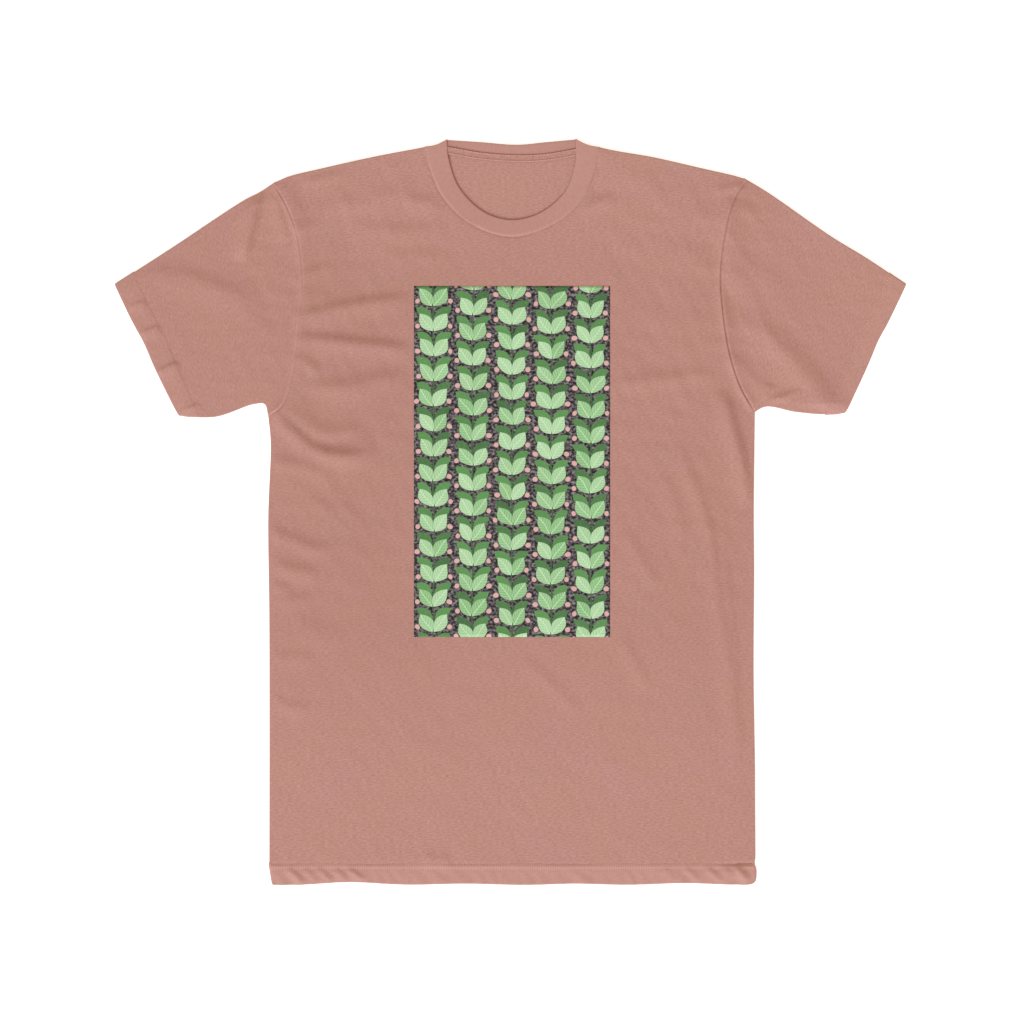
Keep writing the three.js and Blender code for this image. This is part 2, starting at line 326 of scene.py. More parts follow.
back_seam = curve([(-83, 353.5), (-59.5, 351), (-29.5, 346), (4.5, 343.5), (33.5, 344.5), (64.5, 349.5),
                   (87, 353)])
back_free = curve([(-61.5, TOP - 0.5), (-29.5, 358.4), (6, 355.8), (33.5, 358.2), (63.5, TOP)])
print(f"outline {2 * CUFF_X:.0f} mm from cuff to cuff and {2 * TOP:.0f} mm long")

# %% [markdown]
# ## How the cloth lies
# Jersey that lies on a table is a shallow pillow: front and back meet in a rounded edge, and the front
# stands off the back by a few millimetres further in. A simulation would find some such shape, but not
# the folds of this one shirt. So the height is worked out from the distance to the closed edges: a
# quarter circle at the edge and a gentle rise after it, flat underneath, plus reliefs that later cells
# add.

# %% Heights over the plan
SEAM_LEVEL = 1.9 * MM
ROLL = 1.0 * MM
BODY_LOFT = 2.8 * MM
SLEEVE_LOFTS = (2.8 * MM, -0.9 * MM)
BODY_REACH = 90 * MM
SLEEVE_REACH = 60 * MM
LOFT_FROM = 200 * MM
LOFT_TO = 330 * MM
NECK_FLAT = 17 * MM
NECK_REACH = 220 * MM
OPEN_LOFT = 0.7
OPEN_REACH = 120 * MM
FOLD_CALM = 10 * MM


def smooth(share):
    """0 below 0, 1 above 1, and a smooth S between them."""
    share = np.clip(share, 0, 1)
    return share * share * (3 - 2 * share)


def bell(distance, reach):
    """1 at no distance, falling as a bell curve over a reach."""
    return np.exp(-((distance / reach) ** 2))


def distance(places, lines):
    """Distance in plan from each place to the nearest of some lines, taken as short straight runs."""
    nearest = np.full(places.shape[:-1], np.inf)
    for line in lines:
        for start, end in zip(line[:-1], line[1:]):
            run = end - start
            share = np.clip((places - start) @ run / (run @ run), 0, 1)
            gap = places - start - share[..., None] * run
            nearest = np.minimum(nearest, (gap**2).sum(-1))
    return np.sqrt(nearest)


CLOSED_NAMES = ("side", "shoulder", "fold", "sleeve_top", "sleeve_under")
closed_edges = [spots_along(lines[name], 33) for lines in (left, right) for name in CLOSED_NAMES]
armholes = [spots_along(lines["armhole"], 41) for lines in (left, right)]
open_edges = [np.array([left["side"](0), right["side"](0)])]
open_edges += [np.array([lines["sleeve_under"](1), lines["sleeve_top"](1)]) for lines in (left, right)]
neck_edge = [spots_along(front_free, 41)]
front_neckline = [spots_along(front_seam, 61)]
back_neckline = [spots_along(back_seam, 41)]


def back_height(places):
    """Outside of the back: on the table, turning up to the seam level in a quarter circle at the edge."""
    edge = np.minimum(distance(places, closed_edges), SEAM_LEVEL)
    return SEAM_LEVEL - np.sqrt(SEAM_LEVEL**2 - (SEAM_LEVEL - edge) ** 2)


def pillow_height(places, rolled=True):
    """Outside of the front without its relief: a quarter circle at a closed edge, then a quarter of a
    sine up to the loft, which differs on each sleeve and is lower at the hem and the cuffs. Round the
    neck the front lies low too. Also gives how much relief it can carry, from 0 at the edge to 1."""
    edge = distance(places, closed_edges)
    neck = np.maximum(distance(places, neck_edge) - NECK_FLAT, 0)
    to_sleeve = smooth((np.abs(places[..., 0]) - LOFT_FROM) / (LOFT_TO - LOFT_FROM))
    opened = OPEN_LOFT + (1 - OPEN_LOFT) * smooth(distance(places, open_edges) / OPEN_REACH)
    sleeve_loft = np.where(places[..., 0] < 0, *SLEEVE_LOFTS)
    loft = (BODY_LOFT + (sleeve_loft - BODY_LOFT) * to_sleeve) * opened
    reach = BODY_REACH + (SLEEVE_REACH - BODY_REACH) * to_sleeve
    share = np.minimum(np.minimum(edge / reach, neck / NECK_REACH), 1)
    height = SEAM_LEVEL + ROLL + loft * np.sin(np.pi / 2 * share)
    if rolled:
        inside = np.minimum(edge, ROLL)
        height = height - (ROLL - np.sqrt(ROLL**2 - (ROLL - inside) ** 2))
    return height, np.minimum(edge / FOLD_CALM, 1)


print(f"front stands up to {(SEAM_LEVEL + ROLL + BODY_LOFT) / MM:.1f} mm off the table")

# %% [markdown]
# ## Folds
# Folds could be sculpted by hand or left to noise. These follow the shirt: each is a line of the crest,
# with a height and two widths, because a fold in limp jersey is steep on one side and runs out gently on
# the other. Walking from the first point to the last, the steep side is on the left hand.

# %% Fold lines
# Each row: points of the crest, height, steep reach, gentle reach, all in millimetres.
FOLDS = [
    ([(-212, 187), (-156, 199), (-96, 207)], 1.8, 5, 10),
    ([(-212, 169), (-161, 164), (-96, 157)], 2.0, 5, 10),
    ([(-208, 150), (-197, 143), (-185, 135)], 1.1, 4, 6),
    ([(-194, 121), (-160, 120), (-137, 124), (-104, 132)], 1.4, 8, 11),
    ([(-214, 99), (-196, 83), (-176, 74), (-146, 80)], 1.4, 10, 5),
    ([(-230, 95), (-208, 75), (-191, 61), (-168, 54), (-132, 56)], 2.1, 4.5, 10),
    ([(-188, 54), (-160, 58), (-130, 66)], 0.8, 11, 14),
    ([(-236, 50), (-204, 44), (-170, 33)], 1.1, 6, 9),
    ([(-238, -14), (-214, -27), (-192, -35), (-170, -37)], 1.2, 5, 8),
    ([(-236, -47), (-214, -57), (-184, -61)], 1.2, 7, 8),
    ([(-240, -64), (-228, -72), (-210, -77)], 0.9, 4.5, 6),
    ([(-230, -88), (-212, -86), (-190, -84)], 0.6, 5, 8),
    ([(-214, -112), (-185, -118), (-158, -128)], 0.6, 12, 15),
    ([(-236, -140), (-214, -142), (-192, -140)], 0.6, 6, 9),
    ([(-236, -177), (-214, -189), (-195, -191)], 0.7, 5, 8),
    ([(-190, 12), (-178, 2), (-168, -12)], 0.5, 4, 6),
    ([(-166, 10), (-156, 1), (-146, -10)], 0.6, 4, 6),
    ([(-366, 232), (-339, 230), (-312, 225), (-280, 215), (-242, 197)], 1.3, 9, 17),
    ([(-240, 316), (-249, 284), (-259, 242)], 2.8, 4, 12),
    ([(-228, 310), (-224, 290), (-217, 262)], 0.8, 3, 8),
    ([(222, 190), (250, 169), (282, 136), (328, 80)], 1.9, 12, 12),
    ([(250, 105), (280, 104), (316, 101)], 0.8, 9, 6),
    ([(240, 103), (247, 113), (252, 124)], 0.8, 3, 4),
    ([(212, 156), (232, 132), (250, 110)], 1.0, 11, 13),
    ([(244, 106), (262, 110), (282, 118)], 0.9, 3.5, 4.5),
    ([(215, 304), (213, 262), (216, 210)], 2.0, 16, 8),
    ([(205, 118), (219, 67), (237, 4)], 3.0, 5.5, 11),
    ([(155, 78), (174, 35), (188, 1), (202, -86), (213, -173), (221, -262)], 1.1, 4.5, 9),
    ([(149, 36), (158, 6), (169, -30)], 0.8, 4.5, 8),
    ([(112, -16), (127, -47), (142, -74)], 0.9, 4.5, 8),
    ([(107, -121), (121, -147), (135, -175)], 0.7, 4.5, 8),
    ([(14, -143), (42, -170), (70, -199)], 0.6, 5, 9),
    ([(94, 124), (145, 128), (198, 134)], 0.9, 5, 9),
    ([(206, -30), (216, -130), (223, -236)], 0.7, 3.5, 5),
    ([(-190, 294), (-140, 300), (-92, 312)], 0.7, 8, 12),
    ([(-104, 301), (-86, 300), (-66, 298)], 1.1, 5, 8),
    ([(-160, 274), (-110, 271), (-62, 274)], 0.8, 7, 11),
    ([(-128, 245), (-90, 248), (-58, 247)], 0.5, 6, 10),
    ([(-204, 228), (-187, 234), (-170, 238)], 0.8, 4, 7),
    ([(-210, 272), (-198, 276), (-186, 277)], 0.8, 4, 6),
    ([(-202, 319), (-181, 324), (-160, 328)], 0.8, 4, 6),
    ([(66, 293), (82, 299), (102, 305)], 0.9, 4.5, 8),
    ([(172, 289), (190, 285), (209, 279)], 0.6, 5, 8),
    ([(198, 310), (212, 314), (226, 317)], 0.8, 3, 5),
    ([(158, 258), (180, 245), (200, 228)], 0.7, 9, 12),
    ([(-86, -334), (-72, -337), (-58, -339)], 0.7, 6, 9),
    ([(-358, 171), (-349, 176), (-340, 179)], 0.8, 2.4, 7),
    ([(-342, 134), (-331, 140), (-321, 144.5)], 1.0, 2.4, 7),
    ([(-322, 95.5), (-312, 99), (-301, 104.5)], 0.8, 2.4, 7),
    ([(-370, 197), (-361, 201), (-353, 203)], 0.6, 2.4, 7),
    ([(-216, -345), (-208, -353), (-200, -361)], 1.0, 2, 4.5),
    ([(-200, -346), (-193, -353), (-186, -361)], 0.8, 2, 4.5),
    ([(-187, -345), (-180, -352), (-172, -360)], 1.0, 2, 4.5),
    ([(-170, -346), (-163, -353), (-156, -360)], 0.8, 2, 4.5),
    ([(-157, -346), (-150, -352), (-142, -359)], 1.1, 2, 4.5),
    ([(149, -345), (154, -351), (160, -360)], 0.7, 2, 4.5),
    ([(169, -345), (175, -351), (182, -360)], 0.8, 2, 4.5),
    ([(190, -345), (197, -351), (205, -360)], 0.9, 2, 4.5),
    ([(206, -345), (212, -350), (218, -356)], 0.8, 2, 4.5),
    ([(217, -344), (224, -350), (231, -358)], 1.5, 2, 4.5),
]
FOLD_GAIN = 1.62
FOLD_MARGIN = 3
CREST_SPOTS = 15
# Waves of slight unevenness, as rows: how many, height, shortest and longest wave in millimetres, and the
# range of their directions in degrees.
RIPPLES = [(16, 0.13, 38, 130, 0, 180), (40, 0.07, 13, 34, 15, 100)]
RIPPLE_CALM = 60 * MM
RIPPLE_LOW = -120 * MM
RIPPLE_SLEEVE = 225 * MM


def crease(places, crest, height, steep, gentle):
    """Ridge: a height times a bell of the distance from the crest, narrower on the left hand than on the
    right, and fading at both ends as 1 minus the fourth power of the way from the middle."""
    line = spots_along(curve(crest), CREST_SPOTS)
    margin = FOLD_MARGIN * gentle * MM
    near = ((places > line.min(0) - margin) & (places < line.max(0) + margin)).all(-1)
    spots = places[near]
    nearest = np.full(len(spots), np.inf)
    way = np.zeros(len(spots))
    hand = np.zeros(len(spots))
    for number, (start, end) in enumerate(zip(line[:-1], line[1:])):
        run = end - start
        share = np.clip((spots - start) @ run / (run @ run), 0, 1)
        gap = spots - start - share[:, None] * run
        square = (gap**2).sum(-1)
        closer = square < nearest
        nearest = np.where(closer, square, nearest)
        way = np.where(closer, (number + share) / (len(line) - 1), way)
        hand = np.where(closer, run[0] * gap[:, 1] - run[1] * gap[:, 0], hand)
    reach = np.where(hand > 0, steep, gentle) * MM
    relief = np.zeros(places.shape[:-1])
    relief[near] = FOLD_GAIN * height * MM * bell(np.sqrt(nearest), reach) * (1 - (2 * way - 1) ** 4)
    return relief


def ripples(places, seed=11):
    """Slight unevenness: plane waves of seeded directions, lengths and starts, doubled beside the
    chest."""
    draw = np.random.default_rng(seed)
    total = np.zeros(places.shape[:-1])
    for count, height, shortest, longest, first, last in RIPPLES:
        turn = np.radians(draw.uniform(first, last, count))
        wave = TURN / (draw.uniform(shortest, longest, count) * MM)
        start = draw.uniform(0, TURN, count)
        along = places[..., :1] * (wave * np.cos(turn)) + places[..., 1:] * (wave * np.sin(turn))
        total = total + height * MM * np.sin(along + start).sum(-1) / np.sqrt(count / 2)
    aside = np.abs(places[..., 0])
    beside = smooth(aside / RIPPLE_CALM - 1) * (1 - smooth((aside - RIPPLE_SLEEVE) / RIPPLE_CALM))
    return total * (1 + beside * smooth(1 - places[..., 1] / RIPPLE_LOW))


def folds(places):
    """The sum of the slight unevenness and all the folds."""
    total = ripples(places)
    for crest, height, steep, gentle in FOLDS:
        total = total + crease(places, crest, height, steep, gentle)
    return total


print(len(FOLDS), "folds")

# %% [markdown]
# ## Hems, seams and their reliefs
# A hem is cloth turned in and sewn down by two needles at once. It shows as a slightly raised band with
# two pinched lines, and faint gathers below them; its larger puckers are folds of their own. A seam shows
# as a soft ridge, where the spare cloth lies underneath, with a thin groove along its top. All of these
# are added to the height.

# %% Reliefs of hems and seams
HEM_DEPTH = 20 * MM
HEM_ROWS = (-341.9 * MM, -347.2 * MM)
HEM_RISE = 0.5 * MM
HEM_STEP = 2 * MM
HEM_CALM = 5
PINCH = 0.55 * MM
PINCH_REACH = 1.1 * MM
SEAM_REACH = 0.9 * MM
SEAM_RIDGE = 1.8 * MM
# Grooves, and the ridge's reach on the body and on the sleeve, for the left and the right armhole.
SEAM_GROOVES = (1.05 * MM, 1.7 * MM)
BODY_RIDGES = (11 * MM, 4.2 * MM)
SLEEVE_RIDGES = (3.6 * MM, 6 * MM)
NECK_GROOVE = 0.5 * MM
NECK_HIDDEN = 345 * MM
NECK_SHOWN = 318 * MM
PULL_WAVE = 95 * MM
PULL_CREST = -40 * MM
PULL_END = 85 * MM
PULL_LEAST = 0.2
PULL_MORE = 0.65
LOWER_PULL = 0.25
# The pull at the hem's two ends, as rows: place along the hem and reach in millimetres, and strength.
END_PULLS = [(-228, 14, 0.4), (224, 20, 3.0)]
GATHER = 0.4 * MM
GATHER_LENGTH = 15 * MM
GATHER_SLANT = 0.6
GATHER_DRIFT = 130 * MM
GATHER_SWAY = 0.5
GATHER_LEAST = 0.35
GATHER_SWELL = 1.35
GATHER_START = 5 * MM
# Painted highlight along the armhole seams' ridges: strength and reach, for the left and the right armhole.
SEAM_HIGHLIGHT = (1.9, 0.9)
SEAM_HIGHLIGHT_REACH = (1.5 * MM, 2.6 * MM)


def row_pull(x):
    """How hard the hem's upper row pulls along the hem, from 0 to 1: a wave that dies out to the
    right."""
    wave = 0.5 + 0.5 * np.cos(TURN * (x - PULL_CREST) / PULL_WAVE)
    return wave * (1 - smooth((x - PULL_END) / PULL_END))


def gathers(places):
    """Faint gathers below the hem's rows: a slanting wave, whose length and height drift along the
    hem."""
    x, y = places[..., 0], places[..., 1]
    drift = TURN * x / GATHER_DRIFT
    wave = np.sin(TURN * ((x + GATHER_SLANT * y) / GATHER_LENGTH + GATHER_SWAY * np.sin(drift)))
    swell = GATHER_LEAST + (1 - GATHER_LEAST) * np.sin(GATHER_SWELL * drift) ** 2
    return GATHER * wave * swell * smooth((HEM_ROWS[1] - y) / GATHER_START)


def hem_relief(places):
    """Bottom hem: a raised band below the stitching, its gathers and a pinch along each row. The upper
    row pulls harder, unevenly along the hem and most at its two ends."""
    x, y = places[..., 0], places[..., 1]
    rise = HEM_RISE * smooth((HEM_ROWS[0] - y) / HEM_STEP)
    ends = sum(strength * bell(x - place * MM, reach * MM) for place, reach, strength in END_PULLS)
    pull = PULL_LEAST + PULL_MORE * row_pull(x) + ends
    rows = pull * bell(y - HEM_ROWS[0], PINCH_REACH) + LOWER_PULL * bell(y - HEM_ROWS[1], PINCH_REACH)
    return rise + gathers(places) - PINCH * rows


def armhole_relief(places, reaches):
    """Both armholes: a ridge over the spare cloth, of a reach of its own, and a fine groove on its
    top."""
    offs = [distance(places, [armhole]) for armhole in armholes]
    ridge = sum(SEAM_RIDGE * bell(off, reach) for off, reach in zip(offs, reaches))
    return ridge - sum(groove * bell(off, SEAM_REACH) for off, groove in zip(offs, SEAM_GROOVES))


def seam_highlight(places, side):
    """Painted highlight beside an armhole, left 0 or right 1: how much paler the cloth is drawn along the
    ridge over the spare cloth."""
    return SEAM_HIGHLIGHT[side] * bell(distance(places, [armholes[side]]), SEAM_HIGHLIGHT_REACH[side])


def seam_shows(places):
    """How much the collar's seam shows: not at the shoulders, where it is pressed flat, but lower
    down."""
    return smooth((NECK_HIDDEN - places[..., 1]) / (NECK_HIDDEN - NECK_SHOWN))


def front_height(places):
    """Outside of the body's front: pillow, folds, hem, armhole seams and the groove beside the collar.
    They die out at a closed edge, the hem's relief only close to it."""
    height, calm = pillow_height(places)
    groove = NECK_GROOVE * bell(distance(places, front_neckline), SEAM_REACH)
    relief = folds(places) + armhole_relief(places, BODY_RIDGES) - groove * seam_shows(places)
    return height + calm * relief + np.minimum(HEM_CALM * calm, 1) * hem_relief(places)


print(f"hem {HEM_DEPTH / MM:.0f} mm deep, sewn in two rows {(HEM_ROWS[0] - HEM_ROWS[1]) / MM:.1f} mm apart")

# %% [markdown]
# ## Cloth with two faces
# A single surface has no edge and no inside. Blender's Solidify could thicken it, but it crosses itself
# in a tight turned hem. Here the inner face is the outer grid moved in along its own normals by the
# cloth's thickness, and the rims are joined, so every piece is closed and its faces point outwards.

# %% Grids, patches and closed cloth
JERSEY = 0.6 * MM
TINY = 1e-12
EDGE_STEPS = np.array([0, 0.25, 0.6, 1.05, 1.6, 2.3, 3.2, 4.4, 6.0]) * MM


def unit(vectors):
    """Vectors of length 1 with the same directions."""
    return vectors / np.maximum(np.linalg.norm(vectors, axis=-1, keepdims=True), TINY)


def stations(length, step, near_start=True, near_end=True):
    """Shares along a length: a step apart in the middle and closer together near the ends."""
    first = EDGE_STEPS if near_start else EDGE_STEPS[:1]
    last = length - (EDGE_STEPS if near_end else EDGE_STEPS[:1])[::-1]
    count = int(round((last[0] - first[-1]) / step)) + 1
    return np.concatenate([first, np.linspace(first[-1], last[0], count)[1:-1], last]) / length


def patch(bottom, top, left_line, right_line, fade):
    """Plan between four lines: the straight blend from bottom to top, plus how far the left and right
    lines depart from it, each dying away across the patch as a power of the way."""

    def blend(low, high, v):
        return low * (1 - v) + high * v

    def at(u, v):
        place = blend(bottom(u), top(u), v[..., None])
        ends = [(left_line, np.zeros(1), 1 - u), (right_line, np.ones(1), u)]
        for line, end, near in ends:
            off = line(v) - blend(bottom(end), top(end), v[..., None])
            place = place + off * near[..., None] ** fade
        return place

    return at


def grid_faces(rows, columns, ring):
    """Quads of a grid of points, row by row; a ring also joins the last column to the first."""
    here = np.arange(columns if ring else columns - 1)
    line = np.arange(rows - 1)[:, None] * columns
    a, b = line + here, line + (here + 1) % columns
    return np.stack([a, b, b + columns, a + columns], axis=-1).reshape(-1, 4)


def rim_faces(outer, inner):
    """Quads that join a rim of the outer face to the same rim of the inner face."""
    return np.stack([outer[:-1], inner[:-1], inner[1:], outer[1:]], axis=-1)


def closed_cloth(outer, thickness, ring=False):
    """Points and quads of a cloth: the outer grid, the same grid moved in along its normals, and rims."""
    rows, columns = outer.shape[:2]
    wide = np.concatenate([outer[:, -1:], outer, outer[:, :1]], axis=1) if ring else outer
    across = np.gradient(wide, axis=1)
    across = across[:, 1:-1] if ring else across
    inner = outer - thickness * unit(np.cross(across, np.gradient(outer, axis=0)))
    face = grid_faces(rows, columns, ring)
    number = np.arange(rows * columns).reshape(rows, columns)
    other = number + rows * columns
    if ring:
        number, other = (np.concatenate([face_numbers, face_numbers[:, :1]], axis=1)
                         for face_numbers in (number, other))
    rims = [np.s_[0], np.s_[-1, ::-1]] + ([] if ring else [np.s_[::-1, 0], np.s_[:, -1]])
    faces = [face, face[:, ::-1] + rows * columns]
    faces += [rim_faces(number[rim], other[rim]) for rim in rims]
    return np.concatenate([outer.reshape(-1, 3), inner.reshape(-1, 3)]), np.concatenate(faces)


def add_piece(name, points, faces, finish, layer=None, **marks):
    """Object at the origin with smooth faces, a UV map in metres, and named numbers at its points."""
    mesh = bpy.data.meshes.new(name)
    mesh.from_pydata(points.tolist(), [], faces.tolist())
    mesh.shade_smooth()
    mesh.materials.append(finish.material)
    if layer is not None:
        mesh.uv_layers.new(name="cloth").data.foreach_set("uv", layer[faces.ravel()].ravel())
    for mark, numbers in marks.items():
        mesh.attributes.new(mark, "FLOAT", "POINT").data.foreach_set("value", numbers.ravel())
    piece = bpy.data.objects.new(name, mesh)
    scene.collection.objects.link(piece)
    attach(piece, "root")
    print(f"{name}: {len(points)} points, {len(faces)} faces")
    return piece


def turned_edge(depth, flat_rows=8, arc_rows=7):
    """Rows of a turned-in edge, from the raw edge inside to the outer face: how far each is in from the
    fold, how far beyond it as a share of the fold's radius, and its share of the drop to the inner
    ply."""
    angle = np.linspace(-np.pi / 2, np.pi / 2, arc_rows)
    inset = np.concatenate([np.linspace(depth, 0, flat_rows, endpoint=False), np.zeros(arc_rows)])
    beyond = np.concatenate([np.zeros(flat_rows), np.cos(angle)])
    drop = np.concatenate([np.ones(flat_rows), (1 - np.sin(angle)) / 2])
    return inset, beyond, drop


print("cloth is", JERSEY / MM, "mm thick")

# %% [markdown]
# ## Jersey
# Single jersey is knitted in rows: seen close it is fine columns of loops, and from a little further off
# it is faintly streaked along the rows, because the yarn is uneven. Garment dye adds a slow drift between
# pinker and browner. Painted shade darkens it a little across the middle, most of all on the body and to
# the left. An image of cloth would repeat, so the streaks, the drift and the loops are worked out from a
# map in metres that follows each panel's own rows. A hem of two plies lets less dark through and is a bit
# paler, and so is the thread that crosses between its two rows. Beside each armhole seam a pale line is a
# painted highlight on the seam's ridge.

# %% Colours and loops of the knit
PINK = shade(172, 122, 113)
BROWN = shade(171, 124, 108)
STREAK_PALE = shade(192, 143, 132)
# Paler colour of the hem, also used for the painted highlight beside the armhole seams.
HEM_PALE = shade(198, 149, 138)
# Colour of the painted shade across the middle of the body.
PAINTED_SHADE = shade(160, 112, 98)
WALE = 0.8 * MM
COURSE = 0.6 * MM


def loops(across, along, wale=WALE, course=COURSE):
    """Height of knitted loops from 0 to 1: columns, with rows that slope up on both sides of a column."""
    column = abs((across * (np.pi / wale)).sine())
    row = ((along + column * (course / 2)) * (TURN / course)).sine()
    return column * 0.6 + row * 0.2 + 0.2


print("jersey loops", WALE / MM, "by", COURSE / MM, "mm")

# %% Jersey finish
STREAK_SIZE = (4.5 * MM, 1.3 * MM)
FIBRE_SIZE = (3 * MM, 0.7 * MM)
DRIFT_SIZE = (75 * MM, 55 * MM)
STREAK_SHARE = 0.45
# Painted shade: where it gets deeper on the way up and paler again, and where it does so towards the
# left and beyond the armholes; then how deep it is, how much more on the left, and how much less of that
# elsewhere.
SHADE_LOW = (-270 * MM, -80 * MM)
SHADE_HIGH = (195 * MM, 315 * MM)
SHADE_LEFT = (-50 * MM, 150 * MM)
SLEEVES_FROM = (200 * MM, 250 * MM)
SHADE_SHARE = 0.16
LEFT_MORE = 0.08
HIGH_LESS = 0.9
SLEEVES_LESS = (0.35, 0.6)
HEM_SHARE = 0.41
TICK_SHARE = 0.8
TICK = 2.2 * MM
TICK_HALF = 3.2 * MM
LOOP_DEPTH = 0.10 * MM

jersey = Finish("dusty pink jersey", roughness=0.88, sheen=0.3)
across, along = jersey.across_along("cloth")
streak = jersey.cloud(across, along, STREAK_SIZE, 3.0)
fibre = jersey.cloud(across, along, FIBRE_SIZE, 2.0, seed=4.0)
drift = jersey.cloud(across, along, DRIFT_SIZE, 2.0, seed=9.0)
on_shirt = jersey.node("ShaderNodeTexCoord", None, None, 3)
sideways, upwards = (jersey.node("ShaderNodeSeparateXYZ", None, {0: on_shirt}, k) for k in (0, 1))
ground = jersey.mix(drift.step(0.35, 0.65), PINK, BROWN)
uneven = streak * STREAK_SHARE + fibre * (1 - STREAK_SHARE)
yarn = jersey.mix(uneven.step(0.33, 0.67), ground, STREAK_PALE)
# Painted shade: the yarn is darkened across the middle, most on the body and to the left, less on the
# sleeves.
middle = upwards.step(*SHADE_LOW) * (1 - upwards.step(*SHADE_HIGH) * HIGH_LESS)
leftwards = 0 - sideways
on_right, on_left = sideways.step(*SLEEVES_FROM), leftwards.step(*SLEEVES_FROM)
on_sleeves = on_right * SLEEVES_LESS[1] + on_left * SLEEVES_LESS[0]
painted_darkening = middle * (1 - on_sleeves) * (SHADE_SHARE + leftwards.step(*SHADE_LEFT) * LEFT_MORE)
shaded_yarn = jersey.mix(painted_darkening, yarn, PAINTED_SHADE)
# Paler in the hem, in its ticks, and in the painted highlight beside the armhole seams.
doubled = jersey.node("ShaderNodeAttribute", {"attribute_name": "doubled"}, None, 2)
stitched = (TICK_HALF - abs(along - sum(HEM_ROWS) / 2)).step(0.0, TICK_HALF / 4)
ticks = ((across * (TURN / TICK)).sine() * 0.5 + 0.5) * stitched
paler = doubled * HEM_SHARE + ticks * TICK_SHARE
jersey.plug(jersey.surface.inputs["Base Color"], jersey.mix(paler, shaded_yarn, HEM_PALE))
jersey.plug(jersey.surface.inputs["Roughness"], 0.82 + fibre * 0.14)
jersey.relief(loops(across, along) * 0.5 + streak * 0.5, LOOP_DEPTH)
print("jersey has", len(jersey.tree.nodes), "nodes")

# %% [markdown]
# ## Front and back of the body
# Each half of the body is one grid: across from side to side, and along from the hidden raw edge of the
# hem, round its fold and up to the shoulders and the neck. The rows are close at the hem and at the
# edges, where the cloth turns, and wider elsewhere. The neck edge goes a little way under the collar.

# %% How the hem lies
HEM_FADE = 16 * MM
FLARE = 0.8 * MM
FLARE_REACH = 12 * MM
FLARE_LENGTH = 90 * MM
CORNER_ROUND = 3.0 * MM
CORNER_REACH = (2.5 * MM, 6 * MM)
DRAWN_IN = 3.0 * MM
DRAWN_REACH = 30 * MM
NOTCH = 1.4 * MM
NOTCH_REACH = (6 * MM, 3 * MM)
HEM_SAG = 0.6 * MM
# Places where the hem's edge lifts, as rows: place along the hem, reach and lift in millimetres.
HEM_WAVES = [(-155, 38, 3.2), (-45, 42, 1.7), (64, 36, 1.7), (168, 40, 2.2)]


def hem_line(share):
    """The hem's edge before it is uneven: straight from the left side to the right."""
    x = (1 - share) * left["side"](0)[0] + share * right["side"](0)[0]
    return np.stack([x, np.full_like(share, -TOP * MM)], axis=-1)


def hem_lie(places, inset):
    """The hem's edge isn't straight: it dips and lifts by some millimetres, its left corner is drawn in,
    and at its right end it flares, is rounded at the corner and is nipped by the stitches."""
    x, y = places[..., 0], places[..., 1]
    from_right = right["side"](0)[0] - x
    fade = np.clip(1 - inset / HEM_FADE, 0, 1)
    lift = sum(rise * bell(x / MM - place, reach) for place, reach, rise in HEM_WAVES) * MM - HEM_SAG
    corner = np.exp(-np.maximum(from_right, 0) / CORNER_REACH[0]) * smooth(1 - inset / CORNER_REACH[1])
    drawn = np.exp(-(x + HALF * MM) / DRAWN_REACH)
    swell = np.sin(np.pi * np.clip(inset / HEM_DEPTH, 0, 1)) + smooth(1 - inset / FLARE_LENGTH)
    notch = np.exp(-from_right / NOTCH_REACH[0]) * bell(y - HEM_ROWS[0], NOTCH_REACH[1])
    move_x = DRAWN_IN * drawn * fade + FLARE * np.exp(-from_right / FLARE_REACH) * swell - NOTCH * notch
    move_y = lift * fade + CORNER_ROUND * corner
    return places + np.stack([move_x, move_y], axis=-1)


print("hem lifts at", len(HEM_WAVES), "places")

# %% Front of the body
HEM_STATIONS = np.arange(1.2, 28, 1.2) * MM
ROW_STEP = 3.4 * MM
COLUMN_STEP = 2.8 * MM
HEM_RADIUS = 0.95 * MM
PLY_SHARE = 0.42
BODY_LENGTH = 680 * MM
BODY_WIDTH = 470 * MM
BODY_FADE = 4
UNDERARM = 0.65
NECK_BREAKS = (0.29, 0.71)
NECK_SPREAD = 0.1
NECK_TUCK = 0.16
NECK_ROUND = 0.35


def tucked(seam, free):
    """Neckline moved a little way from the seam towards the collar's free edge, except at its two
    ends."""

    def at(share):
        spread = share + NECK_SPREAD * np.sin(TURN * share)
        tuck = NECK_TUCK * np.sin(np.pi * np.clip(share, 0, 1)) ** NECK_ROUND
        return seam(spread) + tuck[..., None] * (free(spread) - seam(spread))

    return at


